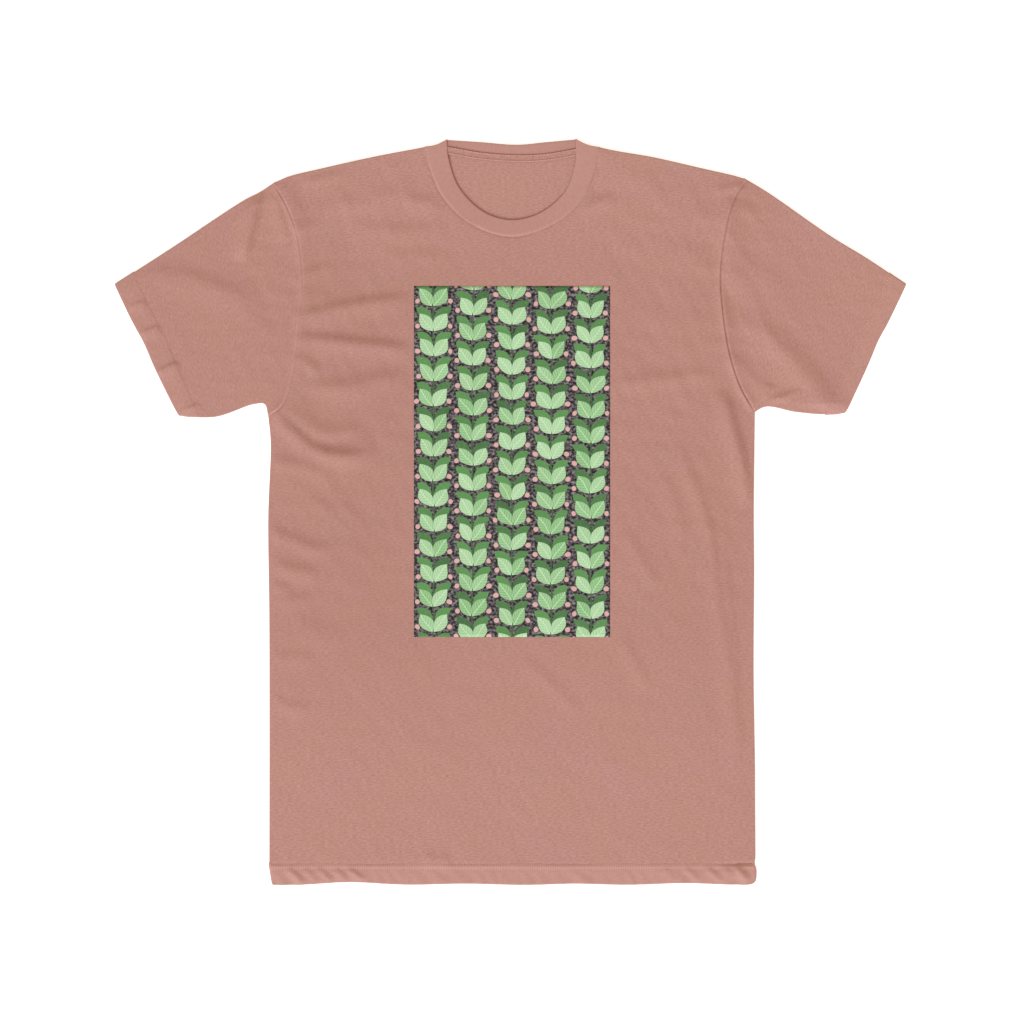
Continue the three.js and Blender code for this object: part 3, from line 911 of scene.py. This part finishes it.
def half_body(seam, free, outside, inwards):
    """Grid of one half: outside gives its height, and inwards is -1 where the inner ply lies below it.
    Gives its points, its map, which is the plan, and how pale it is, from the hem and from a painted
    highlight by the armhole seam."""
    top = chain([left["shoulder"], tucked(seam, free), backwards(right["shoulder"])], NECK_BREAKS)
    edges = [chain([lines["side"], lines["armhole"]], [UNDERARM]) for lines in (left, right)]
    plan = patch(hem_line, top, *edges, BODY_FADE)
    inset, beyond, drop = turned_edge(HEM_DEPTH)
    low = HEM_STATIONS / BODY_LENGTH
    high = low[-1] + (1 - low[-1]) * stations(BODY_LENGTH * (1 - low[-1]), ROW_STEP, False, True)
    v = np.concatenate([inset / BODY_LENGTH, low, high[1:]])
    rest = np.zeros(len(v) - len(inset))
    beyond, drop = np.concatenate([beyond, rest])[:, None], np.concatenate([drop, rest])[:, None]
    u = np.union1d(stations(BODY_WIDTH, COLUMN_STEP), NECK_BREAKS)
    u, v = np.meshgrid(u, v)
    places = plan(u, v)
    height = outside(places)
    gap = np.minimum(2 * HEM_RADIUS, PLY_SHARE * np.abs(front_height(places) - back_height(places)))
    lain = hem_lie(places, v * BODY_LENGTH)
    lain[..., 1] -= beyond * gap / 2
    points = np.dstack([lain, height + inwards * drop * gap])
    # The hem is paler, and a painted highlight lies beside the right armhole seam.
    band = smooth((HEM_ROWS[0] - places[..., 1]) / HEM_STEP) + seam_highlight(places, 1)
    return points, places, band


def twice(numbers):
    """Numbers for the outer and the inner face of a closed cloth."""
    flat = numbers.reshape(-1, numbers.shape[2]) if numbers.ndim == 3 else numbers.ravel()
    return np.concatenate([flat, flat])


points, layer, band = half_body(front_seam, front_free, front_height, -1)
front = add_piece("front_jersey", *closed_cloth(points, JERSEY), jersey, twice(layer), doubled=twice(band))
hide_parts("front_panel")

# %% Back of the body
BACK_GROOVE = 0.4 * MM
NECK_HOLLOW = 0.9 * MM


def under_height(places):
    """Outside of the cloth on the table: the back's height and a slight groove along the armholes."""
    return back_height(places) + BACK_GROOVE * bell(distance(places, armholes), SEAM_REACH)


def back_outside(places):
    """Outside of the back: as it lies on the table, hollow under the collar's back."""
    return under_height(places) + NECK_HOLLOW * bell(distance(places, back_neckline), 2 * SEAM_REACH)


points, layer, band = half_body(back_seam, back_free, back_outside, 1)
flip = np.s_[:, ::-1]
back = add_piece("back_jersey", *closed_cloth(points[flip], JERSEY), jersey, twice(layer[flip]),
                 doubled=twice(band[flip]))
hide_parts("back_panel")

# %% [markdown]
# ## Sleeves
# A sleeve is one piece of cloth, folded along the top of the arm and sewn underneath. Laid flat it is a
# tube with two sharp folds, so the grid is a ring: along the under face, round the top fold, and back
# along the upper face. At the body it goes in under the seam, and at the cuff it is turned in like the
# hem.

# %% Plan and heights of a sleeve
SLEEVE_WIDTH = 190 * MM
SLEEVE_LENGTH = 150 * MM
SLEEVE_STEP = 1.4 * MM
SLEEVE_ROWS = np.arange(8, 112, 2.6) * MM
CUFF_STATIONS = 32
NEAR_SEAM = 0.03
NEAR_CUFF = 0.96
LAST_QUARTER = 0.75
SLEEVE_FADE = 1
SLEEVE_TUCK = (3.0 * MM, 1.4 * MM)
TUCK_DROP = (1.5 * MM, 0.9 * MM)
CUFF_ROWS = {"left": (20.5 * MM, 15.7 * MM), "right": (18.0 * MM, 13.5 * MM)}
CUFF_PINCH = {"left": 0.2 * MM, "right": 0.5 * MM}
CUFF_PALE = 0.36
CUFF_STEP = 3 * MM
CUFF_SPARE = 1.5 * MM
CUFF_CORNER = {"left": 1.0 * MM, "right": 1.3 * MM}
CUFF_DENT = 1.3 * MM
DENT_AT = 0.55
DENT_REACH = 0.12
STIFF_REACH = (5 * MM, 9 * MM)
STIFF_IN = 0.5


def sleeve_plan(lines):
    """Plan of a sleeve from the armhole to the cuff, its cuff line, which is straight but for a slight
    dent, and the way out at each place of it."""
    under, top = lines["sleeve_under"](1), lines["sleeve_top"](1)
    inwards = unit(lines["armhole"](0.5) - (under + top) / 2)

    def cuff(u):
        share = np.asarray(u)[..., None]
        return under * (1 - share) + top * share + inwards * CUFF_DENT * bell(share - DENT_AT, DENT_REACH)

    plan = patch(lines["armhole"], cuff, lines["sleeve_under"], lines["sleeve_top"], SLEEVE_FADE)

    def outwards(u):
        return unit(plan(u, np.ones_like(u)) - plan(u, np.full_like(u, NEAR_CUFF)))

    return plan, cuff, outwards


def outwards_at_seam(plan, u):
    """The way out from the armhole, at each place of it."""
    return unit(plan(u, np.full_like(u, NEAR_SEAM)) - plan(u, np.zeros_like(u)))


def cuff_relief(inset, name):
    """Cuff: a slightly raised band and a pinch along each row of stitches."""
    rows = CUFF_ROWS[name]
    rise = HEM_RISE / 2 * smooth((rows[0] - inset) / CUFF_STEP)
    return rise - sum(bell(inset - row, PINCH_REACH) for row in rows) * CUFF_PINCH[name]


def sleeve_height(places, inset, name):
    """Outside of a sleeve's upper face: pillow, folds, cuff, and the ridge along the armhole."""
    height, calm = pillow_height(places)
    relief = folds(places) + cuff_relief(inset, name) + armhole_relief(places, SLEEVE_RIDGES)
    return height + calm * relief


def cuff_lie(inset, u, inwards, upwards, name):
    """How far the corner at the sleeve's underside is drawn in and up, because its seam is stiff
    there."""
    corner = np.exp(-u * SLEEVE_WIDTH / STIFF_REACH[0]) * smooth(1 - inset / STIFF_REACH[1])
    return CUFF_CORNER[name] * corner[..., None] * (STIFF_IN * inwards + upwards)


print("cuffs turned in by", [(rows[0] + CUFF_SPARE) / MM for rows in CUFF_ROWS.values()], "mm")


# %% Sleeves
def sleeve(name, lines):
    """Grid of a sleeve: columns round the tube, and rows from under the seam, along the shell and round
    the cuff to its raw edge. Gives its points, its map and how pale it is, from the cuff and, on the left,
    from a painted highlight by the armhole seam."""
    plan, cuff, outwards = sleeve_plan(lines)
    half = stations(SLEEVE_WIDTH, SLEEVE_STEP)
    u = np.concatenate([half, half[-2:0:-1]])
    upper = np.concatenate([np.zeros(len(half)), np.ones(len(half) - 2)])
    start = np.concatenate([EDGE_STEPS, SLEEVE_ROWS]) / SLEEVE_LENGTH
    v = np.concatenate([start, np.linspace(start[-1], 1, CUFF_STATIONS)[1:]])
    depth = CUFF_ROWS[name][0] + CUFF_SPARE
    inset, beyond, drop = (rows[::-1][1:, None] for rows in turned_edge(depth))
    shell_u, shell_v = np.meshgrid(u, v)
    shell = plan(shell_u, shell_v)
    end_run = np.linalg.norm(cuff(u) - plan(u, np.full_like(u, LAST_QUARTER)), axis=-1)
    length = end_run / (1 - LAST_QUARTER)
    shell_inset = (1 - shell_v) * length
    out = outwards(u)
    turned = cuff(u) - out * inset[..., None]
    tuck = lines["armhole"](u) - np.array(SLEEVE_TUCK)[:, None, None] * outwards_at_seam(plan, u)
    tuck_inset = np.tile(length, (len(SLEEVE_TUCK), 1))
    places = np.concatenate([tuck, shell, turned])
    insets = np.concatenate([tuck_inset, shell_inset, np.broadcast_to(inset, turned.shape[:2])])
    top = sleeve_height(places, insets, name)
    bottom = under_height(places)
    gap = np.minimum(2 * HEM_RADIUS, PLY_SHARE * (top - bottom))
    sink = np.zeros(insets.shape)
    sink[:len(SLEEVE_TUCK)] = np.array(TUCK_DROP)[:, None]
    sink = np.minimum(sink, PLY_SHARE * (top - bottom))
    sink[-len(inset):] = drop * gap[-len(inset):]
    height = np.where(upper > 0, top - sink, bottom + sink)
    places[-len(inset):] += out * (beyond * gap[-len(inset):] / 2)[..., None]
    hem_way = unit(cuff(np.ones(1)) - cuff(np.zeros(1)))[0]
    points = np.dstack([places + cuff_lie(insets, u, -out, hem_way, name), height])
    layer = np.dstack([places @ hem_way, places @ np.array([-hem_way[1], hem_way[0]])])
    band = CUFF_PALE * smooth((CUFF_ROWS[name][0] - insets) / HEM_STEP)
    # On the left sleeve a painted highlight lies beside the armhole seam.
    if name == "left":
        band = band + seam_highlight(places, 0)
    order = np.s_[:, ::-1] if name == "left" else np.s_[:, :]
    return points[order], layer[order], band[order]


for name, lines in (("left", left), ("right", right)):
    points, layer, band = sleeve(name, lines)
    cloth = closed_cloth(points, JERSEY, ring=True)
    tube = add_piece(f"sleeve_{name}_jersey", *cloth, jersey, twice(layer), doubled=twice(band))
    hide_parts(f"sleeve_{name}")

# %% [markdown]
# ## Collar
# The collar is a strip of rib knit, folded lengthwise and sewn in as a ring, so it has two plies and a
# soft round edge. Rib is ridges: a bump map would leave the edge smooth, so the ridges are in the mesh.
# The ring runs along the front, turns over at the neck point, runs back along the inside of the back, and
# turns again.

# %% Stations round the collar
COLLAR_FRONT = 230 * MM
COLLAR_BACK = 140 * MM
COLLAR_WIDTH = 17 * MM
RIB = 0.65 * MM
RIB_RADIUS = 0.78 * MM
RIB_PROUD = 0.45 * MM
RIB_STAND = 0.6 * MM
RIB_PITCH = 1.35 * MM
RIB_RIDGE = 0.07 * MM
RIB_FACET = 0.36 * MM
ARC_STATIONS = 12
OUTER_ROWS = np.array([0.06, 0.14, 0.24, 0.36, 0.48, 0.6, 0.7, 0.79, 0.86, 0.92, 0.965, 1.0])
SEAM_BEND = 0.8 * MM
BEND_LEAST = 0.6
SEAM_SHOULDER = 1.0 * MM
EDGE_FALL = 1.1 * MM
FALL_FROM = 0.2
FOLD_DIP = 1.8 * MM
DIP_SPAN = 0.1


def collar_stations():
    """Shares along the front or back neckline, and the turn: 0 in front, half a turn at the back."""
    front_count = int(round(COLLAR_FRONT / RIB_FACET))
    back_count = int(round(COLLAR_BACK / RIB_FACET))
    front_share = np.linspace(0, 1, front_count)
    back_share = np.linspace(1, 0, back_count)
    arc = np.linspace(0, np.pi, ARC_STATIONS + 2)[1:-1]
    share = np.concatenate([front_share, np.ones(ARC_STATIONS), back_share, np.zeros(ARC_STATIONS)])
    turn = np.concatenate([np.zeros(front_count), arc, np.full(back_count, np.pi), np.pi + arc])
    return share, turn


def short_of(start, end):
    """The way from start to end, less the radius of the collar's round edge."""
    way = end - start
    return way - RIB_RADIUS * unit(way)


print("collar has", len(collar_stations()[0]), "stations")


# %% The collar's ring
def collar():
    """Ring of the collar: each station carries the profile of a folded strip, from the seam along the
    inner ply, round the free edge and back along the outer ply, standing on its side as the ring turns
    over."""
    share, turn = collar_stations()
    inset, beyond, drop = turned_edge(1.0, flat_rows=7)
    inset = np.concatenate([inset, OUTER_ROWS])[:, None]
    rest = np.zeros(len(OUTER_ROWS))
    beyond, drop = (np.concatenate([rows, rest])[:, None] for rows in (beyond, drop))
    width = 1 - inset[..., None]
    front_way, back_way = (short_of(seam(share), free(share))
                           for seam, free in ((front_seam, front_free), (back_seam, back_free)))
    front_plan = front_seam(share) + width * front_way
    back_plan = back_seam(share) + width * back_way
    at_ends = 1 - smooth(np.minimum(share, 1 - share) / DIP_SPAN)
    dip = FOLD_DIP * np.sin(np.pi * width[..., 0]) * at_ends
    front_plan[..., 1] -= dip
    back_plan[..., 1] -= dip
    front_level = pillow_height(front_plan, rolled=False)[0] + RIB_PROUD
    seam_off = width[..., 0] * np.linalg.norm(front_way, axis=-1)
    bend = SEAM_BEND * (BEND_LEAST + (1 - BEND_LEAST) * seam_shows(front_plan))
    front_level = front_level - bend * bell(seam_off, SEAM_SHOULDER)
    away = smooth(np.minimum(share, 1 - share) / FALL_FROM)
    front_level = front_level - EDGE_FALL * away * width[..., 0]
    back_level = np.broadcast_to(RIB_STAND * np.sin(np.pi * share), front_level.shape)
    over = (1 - np.cos(turn)) / 2
    plan = front_plan * (1 - over)[:, None] + back_plan * over[:, None]
    level = front_level * (1 - over) + back_level * over
    way = unit(front_way * (1 - over)[:, None] + back_way * over[:, None])
    side = np.where(share > 0.5, 1.0, -1.0)
    sideways = np.stack([side * way[:, 1], -side * way[:, 0]], axis=-1)
    lean = np.abs(np.sin(turn))
    plan = plan + way * (beyond * RIB_RADIUS)[..., None]
    normal = np.concatenate([sideways * lean[:, None], np.cos(turn)[:, None]], axis=-1)
    points = np.dstack([plan, level]) - normal * (drop * 2 * RIB_RADIUS)[..., None]
    middle = points[len(inset) // 2]
    run = np.concatenate([[0], np.cumsum(np.linalg.norm(np.diff(middle, axis=0), axis=1))])
    ring = run[-1] + np.linalg.norm(middle[0] - middle[-1])
    ridges = np.round(ring / RIB_PITCH)
    ridge = RIB_RIDGE * np.cos(TURN * ridges * run / ring)
    level_way = np.dstack([np.broadcast_to(way, plan.shape), np.zeros(level.shape)])
    points = points + normal * ((1 - 2 * drop) * ridge)[..., None] + level_way * (beyond * ridge)[..., None]
    layer = np.dstack(np.broadcast_arrays(run, inset * COLLAR_WIDTH))
    return points[:, ::-1], layer[:, ::-1]


points, layer = collar()
print(f"collar's profile has {len(points)} points")

# %% Collar
RIB_STREAK_SIZE = (1.5 * MM, 6 * MM)
RIB_DRIFT_SIZE = (40 * MM, 30 * MM)
RIB_LOOP = (0.7 * MM, 0.6 * MM)
RIB_LOOP_DEPTH = 0.06 * MM

rib = Finish("dusty pink rib", roughness=0.88, sheen=0.12)
across, along = rib.across_along("cloth")
streak = rib.cloud(across, along, RIB_STREAK_SIZE, 2.0, seed=2.0)
drift = rib.cloud(across, along, RIB_DRIFT_SIZE, 2.0, seed=7.0)
ground = rib.mix(drift.step(0.35, 0.65), PINK, BROWN)
rib_tone = rib.mix(streak.step(0.3, 0.7) * 0.3 + 0.5, ground, STREAK_PALE)
rib.plug(rib.surface.inputs["Base Color"], rib_tone)
rib.plug(rib.surface.inputs["Roughness"], 0.84 + streak * 0.12)
rib.relief(loops(across, along, *RIB_LOOP), RIB_LOOP_DEPTH)
collar_piece = add_piece("collar_rib", *closed_cloth(points, RIB, ring=True), rib, twice(layer))
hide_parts("neck_rib")

# %% [markdown]
# ## Neck tape
# Inside the back a narrow tape covers the neck seam, so that it doesn't chafe. It is woven twill, a
# little paler than the jersey, and sewn along both edges. It is a strip carried along the seam, with soft
# edges.

# %% Neck tape
TAPE_WIDTH = 7.5 * MM
TAPE_THICK = 0.5 * MM
TAPE_ENDS = (0.11, 0.89)
TAPE_OVER_SEAM = 2.8 * MM
TAPE_LEVEL = 2.7 * MM
TAPE_FALL = 1.1 * MM
TAPE_BEAD = 0.32 * MM
TAPE_ROWS = (1.1 * MM, 6.4 * MM)
BEAD_REACH = 0.7 * MM
TAPE_EDGE = 0.35 * MM
TAPE_EDGE_REACH = 0.6 * MM
TAPE_DROPS = np.array([7.5, 7.4, 7.1, 6.7, 6.1, 5.3, 4.4, 3.4, 2.4, 1.6, 1.0, 0.6, 0.25, 0]) * MM
TAPE_COLUMNS = 180
NECK_RUN = 175 * MM
TWILL = 0.9 * MM
TWILL_DEPTH = 0.05 * MM
TAPE_STREAK_SIZE = (5 * MM, 1.3 * MM)
TAPE_DARK = shade(163, 114, 102)
TAPE_LIGHT = shade(186, 137, 125)


def tape_place(share, drop):
    """Place at a share of the back neck seam and a distance below the tape's upper edge. The upper edge
    lies on the collar's seam, and the tape comes down to the back as it goes away from it. Each row of
    stitches lies on a bead."""
    seam = back_seam(share)
    slope = np.gradient(seam, axis=-2)
    down = unit(np.stack([slope[..., 1], -slope[..., 0]], axis=-1))
    plan = seam + down * (drop - TAPE_OVER_SEAM)[..., None]
    height = TAPE_LEVEL - TAPE_FALL * smooth(drop / TAPE_WIDTH)
    edge = np.minimum(drop, TAPE_WIDTH - drop)
    bead = TAPE_BEAD * sum(bell(drop - row, BEAD_REACH) for row in TAPE_ROWS)
    return np.dstack([plan, height + bead - TAPE_EDGE * bell(edge, TAPE_EDGE_REACH)])


share, drop = np.meshgrid(np.linspace(*TAPE_ENDS, TAPE_COLUMNS), TAPE_DROPS)
points = tape_place(share, drop)
tape = Finish("dusty pink twill tape", roughness=0.85, sheen=0.08)
across, along = tape.across_along("cloth")
twill = ((across + along) * (TURN / TWILL)).sine() * 0.5 + 0.5
streak = tape.cloud(across, along, TAPE_STREAK_SIZE, 3.0)
weave = twill * 0.25 + streak.step(0.3, 0.7) * 0.6
tape.plug(tape.surface.inputs["Base Color"], tape.mix(weave, TAPE_DARK, TAPE_LIGHT))
tape.relief(twill, TWILL_DEPTH)
tape_piece = add_piece("back_neck_tape", *closed_cloth(points, TAPE_THICK), tape,
                       twice(np.dstack([share * NECK_RUN, drop])))
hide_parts("neck_tape")

# %% [markdown]
# ## Chest print
# The print is ink on the jersey, a rectangle of greens, charcoal and blush. It could be painted into the
# front's own material; as a film of its own it stays crisp at its edges and follows the front's folds.
# Its pattern is a plain garland of leaves, repeated in columns: a leaf is the overlap of two arcs, and
# the same leaf is turned, mirrored and shifted by folding the coordinates over.

# %% Leaves of the print
PRINT_SIZE = (190 * MM, 340 * MM)
PRINT_MIDDLE = (1.5 * MM, 48.5 * MM)
INK_RISE = 0.2 * MM
INK = 0.08 * MM
COLUMN = PRINT_SIZE[0] / 5
REPEAT = PRINT_SIZE[1] / 14
COLUMN_RISE = 0.37
HAND_DRAWN = 7 * MM
# Each leaf: shift by a share of the repeat, angle, foot off the stem, length and breadth.
UPPER_LEAF = (0.0, 0.62, 0.6 * MM, 21 * MM, 6.4 * MM)
LOWER_LEAF = (0.5, 0.95, 0.8 * MM, 19 * MM, 5.2 * MM)
VEIN_GAP = 3.2 * MM
MIDRIB = 0.55 * MM
STEM = 0.9 * MM
BERRY = 2.6 * MM
BERRY_OFF = 15.5 * MM
BERRY_SHIFT = 0.1
LEAF_FOOT = 0.2
TONE_SIZE = (1 / 3.7, 1 / 5.3)
LEAF_EDGE = 0.35 * MM
THIN_EDGE = 0.4 * MM
WEAVE_SIZE = (2.5 * MM, 1.2 * MM)
HAND_SIZE = (24 * MM, 24 * MM)
CHARCOAL = shade(24, 24, 28)
ASH = shade(156, 147, 147)
LEAF_DARK = shade(62, 98, 60)
LEAF = shade(106, 165, 92)
LEAF_PALE = shade(204, 231, 191)
BLUSH = shade(214, 168, 162)

ink = Finish("leaf print", roughness=0.78)
across, along = ink.across_along("cloth")
weave = ink.cloud(across, along, WEAVE_SIZE, 2.0, seed=3.0)
hand = ink.cloud(across, along, HAND_SIZE, 1.0, seed=8.0)
drawn_across = across + (hand - 0.5) * HAND_DRAWN
number = (drawn_across / COLUMN).floor()
aside = abs(((drawn_across / COLUMN).fraction() - 0.5) * COLUMN)
climb = (along + number * (REPEAT * COLUMN_RISE)) / REPEAT


def leaf(shift, angle, base, length, breadth):
    """A leaf in the folded coordinates: how far inside its outline a place is, how far along and off its
    middle line, all in metres, and a tone of its own. The half breadth is a parabola of the way along."""
    up = ((climb + shift).fraction() - LEAF_FOOT) * REPEAT
    turned_along = up * np.cos(angle) + (aside - base) * np.sin(angle)
    turned_off = (aside - base) * np.cos(angle) - up * np.sin(angle)
    way = turned_along / length
    half = way * (1 - way) * (4 * breadth)
    side = (drawn_across / (COLUMN / 2)).floor()
    tone = ink.cloud(side, (climb + shift).floor(), TONE_SIZE, 0.0, seed=shift)
    return half - abs(turned_off), turned_along, turned_off, tone.step(0.3, 0.7)


print(f"repeat {COLUMN / MM:.0f} by {REPEAT / MM:.1f} mm")

# %% Chest print
SPECK_SIZE = (3 * MM, 2.6 * MM)
INK_GRAIN = 0.08 * MM
PRINT_COLUMNS = 84
PRINT_ROWS = 140

speck = ink.cloud(across, along, SPECK_SIZE, 4.0, seed=6.0)
colour = ink.mix(speck.step(0.4, 0.72) * 0.8, CHARCOAL, ASH)
inside, _, _, tone = leaf(*LOWER_LEAF)
back_leaf = ink.mix(tone * 0.5 + weave * 0.2, LEAF_DARK, LEAF)
colour = ink.mix(inside.step(0.0, LEAF_EDGE), colour, back_leaf)
colour = ink.mix((STEM - aside).step(0.0, THIN_EDGE), colour, LEAF_DARK)
inside, along_leaf, off_leaf, tone = leaf(*UPPER_LEAF)
vein = ((along_leaf - abs(off_leaf) * 0.9) * (TURN / VEIN_GAP)).sine() * 0.5 + 0.5
face = ink.mix(vein * 0.25 + weave * 0.3 + tone * 0.35, LEAF, LEAF_PALE)
face = ink.mix((MIDRIB - abs(off_leaf)).step(0.0, THIN_EDGE) * 0.8, face, LEAF_PALE)
colour = ink.mix(inside.step(0.0, LEAF_EDGE), colour, face)
berry_up = ((climb + BERRY_SHIFT).fraction() - 0.5) * REPEAT
berry_off = aside - BERRY_OFF
berry = BERRY - (berry_up * berry_up + berry_off * berry_off) ** 0.5
colour = ink.mix(berry.step(0.0, THIN_EDGE), colour, BLUSH)
ink.plug(ink.surface.inputs["Base Color"], ink.mix((weave - 0.5).most(0.0) * 0.5, colour, BLUSH))
ink.relief(loops(across, along) * 0.5 + weave * 0.5, INK_GRAIN)

u, v = np.meshgrid(np.linspace(-0.5, 0.5, PRINT_COLUMNS), np.linspace(-0.5, 0.5, PRINT_ROWS))
plan = np.dstack([PRINT_MIDDLE[0] + u * PRINT_SIZE[0], PRINT_MIDDLE[1] + v * PRINT_SIZE[1]])
points = np.dstack([plan, front_height(plan) + INK_RISE])
layer = np.dstack([(u + 0.5) * PRINT_SIZE[0], (v + 0.5) * PRINT_SIZE[1]])
print_piece = add_piece("chest_ink", *closed_cloth(points, INK), ink, twice(layer))
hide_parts("chest_print")

# %% [markdown]
# ## Stitching
# The hem and the cuffs are sewn by two needles side by side, and the tape along its two edges. A drawn
# line would lie flat, so each stitch is a short thread that comes up, runs a few millimetres and goes
# down again: a six-sided tube of five rings, narrower and lower at its ends, repeated along the row.

# %% Stitches
STITCH = 2.7 * MM
STITCH_GAP = 0.35 * MM
THREAD = 0.24 * MM
THICK_THREAD = 0.34 * MM
RING_SIZE = np.array([0.45, 0.9, 1.0, 0.9, 0.45])
RING_LIFT = np.array([-0.9, 0.3, 0.6, 0.3, -0.9])
SIDES = 6
# The same thread in two copies: painted shade where it sinks into a pinch, painted highlight where it lies
# on top.
SHADED_THREAD_DARK = shade(146, 99, 88)
SHADED_THREAD_LIGHT = shade(176, 127, 116)
LIT_THREAD_DARK = shade(198, 150, 139)
LIT_THREAD_LIGHT = shade(220, 174, 163)
SUNK_PALE = 0.5
DARK_FROM = 185 * MM
DARK_OVER = 20 * MM
TWISTS_PER_METRE = 900.0


def stitch_row(path, up, radius=THREAD):
    """Points and faces of a row of stitches along a path; up is +1 on an upper face and -1 on a lower
    one."""
    run = np.concatenate([[0], np.cumsum(np.linalg.norm(np.diff(path, axis=0), axis=1))])
    count = int(run[-1] / (STITCH + STITCH_GAP))
    start = (np.arange(count) + 0.5) * run[-1] / count - STITCH / 2
    place = start[:, None] + np.linspace(0, STITCH, len(RING_SIZE))
    centre = np.stack([np.interp(place, run, path[:, k]) for k in range(3)], axis=-1)
    ahead = unit(np.gradient(centre, axis=1))
    above = np.array([0, 0, float(up)])
    aside = unit(np.cross(ahead, above))
    above = np.cross(aside, ahead)
    angle = np.arange(SIDES) * TURN / SIDES
    ring = np.cos(angle)[:, None] * aside[:, :, None] + np.sin(angle)[:, None] * above[:, :, None]
    centre = centre + above * (radius * RING_LIFT)[:, None]
    points = centre[:, :, None] + ring * (radius * RING_SIZE)[:, None, None]
    rings = len(RING_SIZE)
    tube = grid_faces(rings, SIDES, True)
    caps = np.array([[0, 1, 2, 3], [0, 3, 4, 5]])
    last = (rings - 1) * SIDES
    one = np.concatenate([tube[:, ::-1], caps, caps[:, ::-1] + last])
    faces = (one[None] + (np.arange(count) * rings * SIDES)[:, None, None]).reshape(-1, 4)
    return points.reshape(-1, 3), faces


def even(paleness):
    """The same paleness all along a row."""
    return lambda x: np.full_like(x, paleness)


def hem_row_shade(x):
    """Paleness of the hem's upper row, as painted shade of its pinch: paler where it pulls less, and dark
    at its right end.
    """
    return SUNK_PALE * (1 - row_pull(x)) * (1 - smooth((x - DARK_FROM) / DARK_OVER))


def add_stitches(name, rows, paleness):
    """One piece of several rows, each with a paleness of its own from 0 to 1, as a function of x: its share
    of painted highlight against painted shade.
    """
    starts = np.cumsum([0] + [len(points) for points, _ in rows[:-1]])
    faces = [faces + start for (_, faces), start in zip(rows, starts)]
    pale = np.concatenate([share(points[:, 0]) for (points, _), share in zip(rows, paleness)])
    points = np.concatenate([points for points, _ in rows])
    return add_piece(name, points, np.concatenate(faces), thread, None, pale=pale)


thread = Finish("dusty pink thread", roughness=0.7, sheen=0.1)
grain = thread.node("ShaderNodeTexCoord", None, None, 3)
twist = thread.node("ShaderNodeTexNoise", None, {"Vector": grain, "Scale": TWISTS_PER_METRE, "Detail": 1.0})
# Each stitch's colour lies between the painted-shade and the painted-highlight copy of the thread.
shaded_thread = thread.mix(twist.step(0.3, 0.7), SHADED_THREAD_DARK, SHADED_THREAD_LIGHT)
lit_thread = thread.mix(twist.step(0.3, 0.7), LIT_THREAD_DARK, LIT_THREAD_LIGHT)
pale = thread.node("ShaderNodeAttribute", {"attribute_name": "pale"}, None, 2)
thread.plug(thread.surface.inputs["Base Color"], thread.mix(pale, shaded_thread, lit_thread))
print("stitches", STITCH / MM, "mm long")

# %% Rows of stitches
HEM_ENDS = ((2.5 - HALF) * MM, (HALF - 1.5) * MM)
CUFF_ENDS = (0.015, 0.985)
# How far each row is painted as lit thread rather than shaded thread.
CUFF_TONES = [0.35, 0.35, 0.6, 0.6, 0.85, 0.85, 0.7, 0.7]
TAPE_TONE = 0.9
HEM_SPOTS = 700
CUFF_SPOTS = 240
TAPE_SPOTS = 300

x = np.linspace(*HEM_ENDS, HEM_SPOTS)
rows = []
for level in HEM_ROWS:
    line = np.stack([x, np.full_like(x, level)], axis=-1)
    rows.append(stitch_row(np.column_stack([line, front_height(line)]), 1))
    rows.append(stitch_row(np.column_stack([line, back_outside(line)]), -1))
hem_thread = add_stitches("hem_stitches", rows, [hem_row_shade, even(0), even(1), even(1)])

rows = []
for name, lines, radius in (("left", left, THREAD), ("right", right, THICK_THREAD)):
    plan, cuff, outwards = sleeve_plan(lines)
    u = np.linspace(*CUFF_ENDS, CUFF_SPOTS)
    for inset in CUFF_ROWS[name]:
        line = cuff(u) - outwards(u) * inset
        height = sleeve_height(line, np.full_like(u, inset), name)
        rows.append(stitch_row(np.column_stack([line, height]), 1, radius))
        rows.append(stitch_row(np.column_stack([line, back_height(line)]), -1))
cuff_thread = add_stitches("cuff_stitches", rows, [even(tone) for tone in CUFF_TONES])

rows = []
for drop in TAPE_ROWS:
    share = np.linspace(*TAPE_ENDS, TAPE_SPOTS)[None]
    rows.append(stitch_row(tape_place(share, np.full_like(share, drop))[0], 1, THICK_THREAD))
tape_thread = add_stitches("tape_stitches", rows, [even(TAPE_TONE)] * len(rows))
